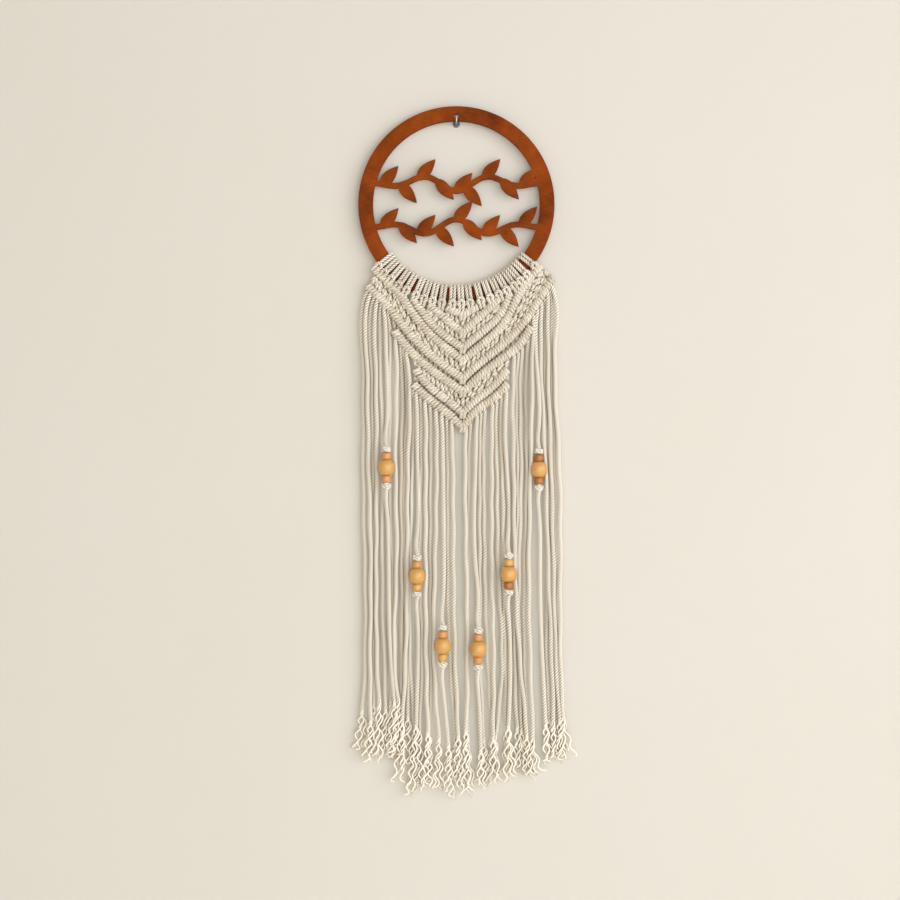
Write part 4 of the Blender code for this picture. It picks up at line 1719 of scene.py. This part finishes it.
@dataclass
class HangingStrands:
    """The long strands with their bead knots, and the locks into which their tips come apart.

    Attributes:
        levels: drops of the first four of the five levels at which the strands' places are given.
        tucked: how far inside its bar, toward the middle of the V, a strand starts.
        leaving: (sideways, drop, out) from its start of the point at which it comes clear of the bar.
        stray: how far its place at a level may differ from the one read.
        sway: how far a strand wanders between levels.
        clear: a level nearer than this below the bar is left out.
        lead: length over which a strand comes forward to its beads.
        lead_clear: a level nearer than this to that length is left out too.
        knot_gap: from the middle of a small bead's end to the middle of the knot beyond it.
        coil_r: radius of the coil that an overhand knot makes.
        coil_h: its height.
        coil_turns: how many turns it makes.
        tint_range: how much deeper the deepest strand of a layer is than the palest.
        back_painted_shade: how much deeper the back layer is than the front one.
    """

    levels: tuple[float, float, float, float] = (140.0, 250.0, 370.0, 490.0)
    tucked: float = 3.4
    leaving: tuple[float, float, float] = (0.4, 5.0, 0.8)
    stray: float = 0.3
    sway: float = 0.45
    clear: float = 18.0
    lead: float = 24.0
    lead_clear: float = 10.0
    knot_gap: float = 3.3
    coil_r: float = 3.0
    coil_h: float = 4.2
    coil_turns: float = 2.2
    tint_range: float = 0.2
    # The back layer's extra depth is painted shade from the strands in front
    back_painted_shade: float = 0.2

    def bar_drop(self, strand: Strand) -> float:
        """The drop of the strand's bar where the strand leaves it."""
        line = next(bar for bar in BARS if bar.name == strand.bar).line()
        return float(line[np.abs(line[:, 0] - strand.root).argmin()][1])

    def route(self, number: int, strand: Strand, noise: np.random.Generator) -> np.ndarray:
        """A strand's middle line, from inside its bar to where it opens.

        Args:
            number: the strand's place in the list.
            strand: its row.
            noise: source of its small wanderings.

        Returns:
            Points at the rope's pitch, in world millimetres.
        """
        start = self.bar_drop(strand)
        out = strand.layer.value
        side = -1 if strand.bar.endswith("left") else 1
        sideways, below, forward = self.leaving
        points = [
            (strand.root - self.tucked * side, start, -0.5),
            (strand.root + sideways * side, start + below, 0.3 * out + forward),
            (strand.xs[0] * 0.5 + strand.root * 0.5 + 2 * sideways * side, start + 2.4 * below, 0.7 * out),
        ]
        for drop, x in zip(self.levels, strand.xs):
            if drop > start + self.clear:
                points.append((x + float(noise.uniform(-self.stray, self.stray)), drop, out))
        points.append((strand.xs[4], strand.opens, out))
        bead_set = next((b for b in BEAD_SETS if b.strand == number), None)
        if bead_set is not None:
            points = self._through_beads(points, bead_set, out)
        path = spline([PLAN.at(*point) for point in points], ROPE.pitch)
        # A strand with beads hangs straighter, from their weight
        if bead_set is None:
            share = np.linspace(0, 1, len(path))
            waves = float(noise.uniform(5, 8)) * share + float(noise.uniform())
            path[:, 0] += self.sway * np.sin(math.tau * waves) * eased(share * 8)
        return path

    def _through_beads(
        self,
        points: list[tuple[float, float, float]],
        bead_set: BeadSet,
        out: float,
    ) -> list[tuple[float, float, float]]:
        """The strand's points with its two knots and the straight run through its beads put in.

        Args:
            points: the strand's points without them, as (x, drop, out).
            bead_set: the beads that it carries.
            out: how far the strand hangs in front of the middle plane.

        Returns:
            The points with them, as (x, drop, out).
        """
        top, top_half = bead_set.box("top")
        low, low_half = bead_set.box("low")
        x = top.x - PLAN.centre_x
        forward = PLAN.mid_y - top.y
        first = PLAN.centre_z - top.z - top_half.z - self.knot_gap
        second = PLAN.centre_z - low.z + low_half.z + self.knot_gap
        reach = self.lead + self.lead_clear
        above = [point for point in points if point[1] < first - reach]
        below = [point for point in points if point[1] > second + reach]
        middle = [(x, first - self.lead, out)]
        middle += self._coil(x, first, forward)
        middle += [(x, first + self.knot_gap + 2.0, forward), (x, second - self.knot_gap - 2.0, forward)]
        middle += self._coil(x, second, forward)
        middle += [(x, second + self.lead, out)]
        return above + middle + below

    def _coil(self, x: float, drop: float, forward: float) -> list[tuple[float, float, float]]:
        """The turns of an overhand knot about a point, as (x, drop, out) points.

        Args:
            x: the knot's place, to the right.
            drop: its middle's drop.
            forward: how far its middle stands in front of the middle plane.

        Returns:
            The points, from its upper end to its lower one.
        """
        steps = 16
        points: list[tuple[float, float, float]] = []
        for i in range(steps + 1):
            share = i / steps
            swell = self.coil_r * math.sin(math.pi * share) ** 0.35 if 0 < i < steps else 0.3
            turn = math.tau * self.coil_turns * share + 0.6
            level = drop + self.coil_h * (share - 0.5) * (1.0 if 0 < i < steps else 1.9)
            points.append((x + swell * math.cos(turn), level, forward + 0.9 * swell * math.sin(turn)))
        return points

    def build(self, cotton: bpy.types.Material) -> list[bpy.types.Object]:
        """Makes the strands of each side, and the locks of all the tips."""
        noise = np.random.default_rng(23)
        left, right = Skein("strands_left"), Skein("strands_right")
        tips = FrayedTips()
        fringe = Skein("frayed_tips")
        for number, strand in enumerate(STRANDS):
            skein = left if strand.bar.endswith("left") else right
            path = self.route(number, strand, noise)
            # The back layer is painted deeper, as shade
            tint = self.tint_range * tint_of(number) + (self.back_painted_shade if strand.layer is BACK else 0.0)
            turn = skein.lay(path, ROPE, tint, start=2.1 * number)
            tips.lay(fringe, path[-1], turn, strand, tint, noise)
        return [skein.build(cotton) for skein in (left, right, fringe)]


@dataclass
class FrayedTips:
    """The opened end of each strand: its plies keep the crimp of their lay and swing apart.

    Two of a strand's three plies are drawn as split in two, so that five locks come out of it: three in
    front, and two behind that fill the gaps between them.

    Attributes:
        start_r: distance of a lock from the strand's middle while it is laid up.
        swing: that distance once it is open.
        opening: length over which it opens.
        crimp: length of one wave of an open lock.
        parting: turn that each lock adds as it opens, so that some of them swing against the others.
        sides: which way each lock drifts, from -1 for the far left to 1 for the far right.
        behind: how far behind the strand each lock hangs once it is open.
        behind_painted_shade: how much deeper a lock that hangs behind is.
        uneven: how much shorter, and how much longer, than its strand's tip a lock may be.
        depth: a lock's swing to the front and back, as a share of its swing sideways.
        spread: how far the outer locks drift by the end.
        flare: how much wider than the strands the whole fringe is at its ends.
        curl: length over which a lock's end curls up.
        hook: radius of that curl.
        taper: how much thinner a lock is at its end, as a share.
    """

    start_r: float = 1.0
    swing: float = 2.0
    opening: float = 10.0
    crimp: float = 15.5
    parting: tuple[float, ...] = (0.0, math.pi / 3, -math.pi / 2, math.pi / 2, -math.pi / 3)
    sides: tuple[float, ...] = (-1.0, 0.0, 1.0, -0.6, 0.6)
    behind: tuple[float, ...] = (0.0, 0.0, 0.0, 1.9, 1.9)
    # A lock that hangs behind is painted deeper, as shade
    behind_painted_shade: float = 0.6
    uneven: tuple[float, float] = (10.0, 3.0)
    depth: float = 0.6
    spread: float = 6.2
    flare: float = 0.05
    curl: float = 7.0
    hook: float = 2.0
    taper: float = 0.3

    def lay(
        self,
        skein: Skein,
        root: np.ndarray,
        turn: float,
        strand: Strand,
        tint: float,
        noise: np.random.Generator,
    ) -> None:
        """Adds the locks of one strand's tip.

        Args:
            skein: the skein that takes them.
            root: the strand's last point.
            turn: the turn of the strand's section there.
            strand: the strand's row.
            tint: the strand's tint.
            noise: source of their small differences.
        """
        shorter, longer = self.uneven
        for ply, (parting, side, behind) in enumerate(zip(self.parting, self.sides, self.behind)):
            length = strand.tip - strand.opens + float(noise.uniform(-shorter, longer))
            share = np.linspace(0, 1, math.ceil(length / PLY.pitch) + 1)
            fall = length * share
            crimp = self.crimp * float(noise.uniform(0.85, 1.2))
            opening = eased(fall / self.opening)
            rate = math.tau * ((1 - opening) / ROPE.lay + opening / crimp)
            steps = np.diff(fall, prepend=fall[0])
            angle = turn + math.pi / ROPE.plies + math.tau * ply / ROPE.plies + np.cumsum(rate * steps)
            angle = angle + parting * opening
            reach = self.start_r + (self.swing * float(noise.uniform(0.8, 1.25)) - self.start_r) * opening
            drift = (side + float(noise.uniform(-0.4, 0.4))) * self.spread * float(noise.uniform(0.5, 1.2))
            lean = root[0] - PLAN.centre_x
            x = root[0] + reach * np.cos(angle) + drift * share**1.1 + lean * self.flare * share**2
            y = root[1] - self.depth * reach * np.sin(angle) + behind * opening
            # A lock starts a millimetre up inside its strand, so that no gap shows
            z = root[2] + 1.0 - fall
            curl = math.pi * float(noise.uniform(0.6, 1.3)) * eased((fall - length + self.curl) / self.curl)
            way = 1 if noise.uniform() < 0.5 else -1
            x = x + way * self.hook * (1 - np.cos(curl)) / 2
            z = z + self.hook * np.maximum(0.0, curl - np.sin(curl)) / 2
            # Painted shade: a lock that hangs behind takes a deeper tint
            shade = min(1.0, tint + self.behind_painted_shade) if behind else tint
            thickness = 1 - self.taper * eased((share - 0.9) / 0.1)
            skein.lay(np.stack((x, y, z), axis=1), PLY, shade, thickness=thickness)


# ------------------------------------------------------------------ studio


@dataclass(frozen=True)
class SoftBox:
    """A square soft light aimed at the hanging.

    Attributes:
        name: its name.
        place: where it stands, in metres.
        size: its width, in metres.
        power: its power, in watts.
        tone: its colour.
    """

    name: str
    place: tuple[float, float, float]
    size: float
    power: float
    tone: str


@dataclass
class Studio:
    """Wall, floor, lights and camera.

    Attributes:
        view_w: width of the picture at the hanging, in metres.
        distance: from the camera to the hanging, in metres.
        aim: what the middle of the picture looks at, as (x, z) in metres.
        sensor: width of the camera's sensor, in its own millimetres.
        floor_z: height of the floor, in metres.
        wall_top: height of the wall's top, in metres.
        wall_half: half the wall's width, in metres.
        surround: colour of the light from all round.
        surround_power: its strength.
        lights: daylight from a window on the right, the lit room in front, and a weak one behind the wall.
    """

    view_w: float = 0.918
    distance: float = 1.6
    aim: tuple[float, float] = (-0.0065, -0.334)
    sensor: float = 36.0
    floor_z: float = -1.5
    wall_top: float = 2.0
    wall_half: float = 3.0
    surround: str = "#FDEEDA"
    surround_power: float = 0.48
    lights: tuple[SoftBox, ...] = (
        SoftBox("window", (2.8, -2.3, 0.2), 2.4, 61.0, "#F2F6FF"),
        SoftBox("room", (0.4, -3.0, -0.5), 2.4, 58.0, "#F6F8FA"),
        SoftBox("behind", (-0.8, 2.0, 0.6), 1.6, 14.0, "#FAF6EE"),
    )

    def build(self) -> None:
        """Makes the whole studio."""
        self._backdrop()
        self._floor()
        self._lights()
        self._camera()

    def _backdrop(self) -> None:
        """A painted wall, drawn from its front alone and casting no shadow, so that the back can be seen."""
        paint = MattPaint("painted_plaster", "#D6D3CB", "#D2CFC5", 333.0, 2.0, 0.85)
        material, tree, shader = paint.material()
        clear = add_node(tree, "ShaderNodeBsdfTransparent")
        side = add_node(tree, "ShaderNodeNewGeometry")
        ray = add_node(tree, "ShaderNodeLightPath")
        see_through = add_node(
            tree,
            "ShaderNodeMath",
            links={0: side.outputs["Backfacing"], 1: ray.outputs["Is Shadow Ray"]},
            operation="MAXIMUM",
        )
        mixed = add_node(
            tree,
            "ShaderNodeMixShader",
            links={0: see_through.outputs[0], 1: shader.outputs["BSDF"], 2: clear.outputs["BSDF"]},
        )
        tree.links.new(mixed.outputs["Shader"], tree.nodes["Material Output"].inputs["Surface"])
        left, right, low, high = -self.wall_half, self.wall_half, self.floor_z, self.wall_top
        wall = self._plane("backdrop", [(left, 0, low), (right, 0, low), (right, 0, high), (left, 0, high)])
        wall.data.materials.append(material)

    def _floor(self) -> None:
        """A plain pale floor, far below the hanging."""
        material, _, _ = MattPaint("pale_painted_floor", "#E4E0D6", "#DCD7CB", 200.0, 3.0, 0.7).material()
        z = self.floor_z
        floor = self._plane("floor", [(-4, -5, z), (4, -5, z), (4, 4, z), (-4, 4, z)])
        floor.data.materials.append(material)

    def _plane(self, name: str, corners: list[tuple[float, float, float]]) -> bpy.types.Object:
        """A stage plane from its corners, in metres."""
        mesh = bpy.data.meshes.new(name)
        mesh.from_pydata(corners, [], [(0, 1, 2, 3)])
        plane = link_object(name, mesh)
        return plane

    def _lights(self) -> None:
        """The soft lights and the pale surround."""
        world = bpy.data.worlds.new("surround")
        bpy.context.scene.world = world
        world.use_nodes = True
        back = world.node_tree.nodes["Background"]
        back.inputs["Color"].default_value = linear(self.surround)
        back.inputs["Strength"].default_value = self.surround_power
        for box in self.lights:
            self._light(box)

    def _light(self, box: SoftBox) -> None:
        """Sets up one soft light, aimed at the hanging's middle."""
        light = bpy.data.lights.new(box.name, "AREA")
        light.size = box.size
        light.energy = box.power
        light.color = linear(box.tone)[:3]
        lamp = bpy.data.objects.new(box.name, light)
        bpy.context.scene.collection.objects.link(lamp)
        lamp.location = box.place
        aim = Vector((self.aim[0], 0.0, self.aim[1])) - Vector(box.place)
        lamp.rotation_euler = aim.to_track_quat("-Z", "Y").to_euler()

    def _camera(self) -> None:
        """A camera square to the wall, level with the middle of the picture."""
        bpy.context.scene.view_settings.view_transform = "Standard"
        data = bpy.data.cameras.new("camera")
        data.sensor_width = self.sensor
        data.lens = self.sensor * self.distance / self.view_w
        camera = bpy.data.objects.new("camera", data)
        bpy.context.scene.collection.objects.link(camera)
        camera.location = (self.aim[0], PLAN.mid_y * MM - self.distance, self.aim[1])
        camera.rotation_euler = (math.pi / 2, 0.0, 0.0)
        bpy.context.scene.camera = camera


def main() -> None:
    """Builds the hanging's pieces in order, and the studio round them."""
    logging.basicConfig(level=logging.INFO, format="%(name)s: %(message)s")
    Studio().build()
    WallHook().build()
    FretworkBoard().build()
    cotton = CottonRope().material()
    LarksHeads().build(cotton)
    HitchBars().build(cotton)
    LinkCords().build(cotton)
    Beads().build()
    HangingStrands().build(cotton)


if __name__ == "__main__":
    main()
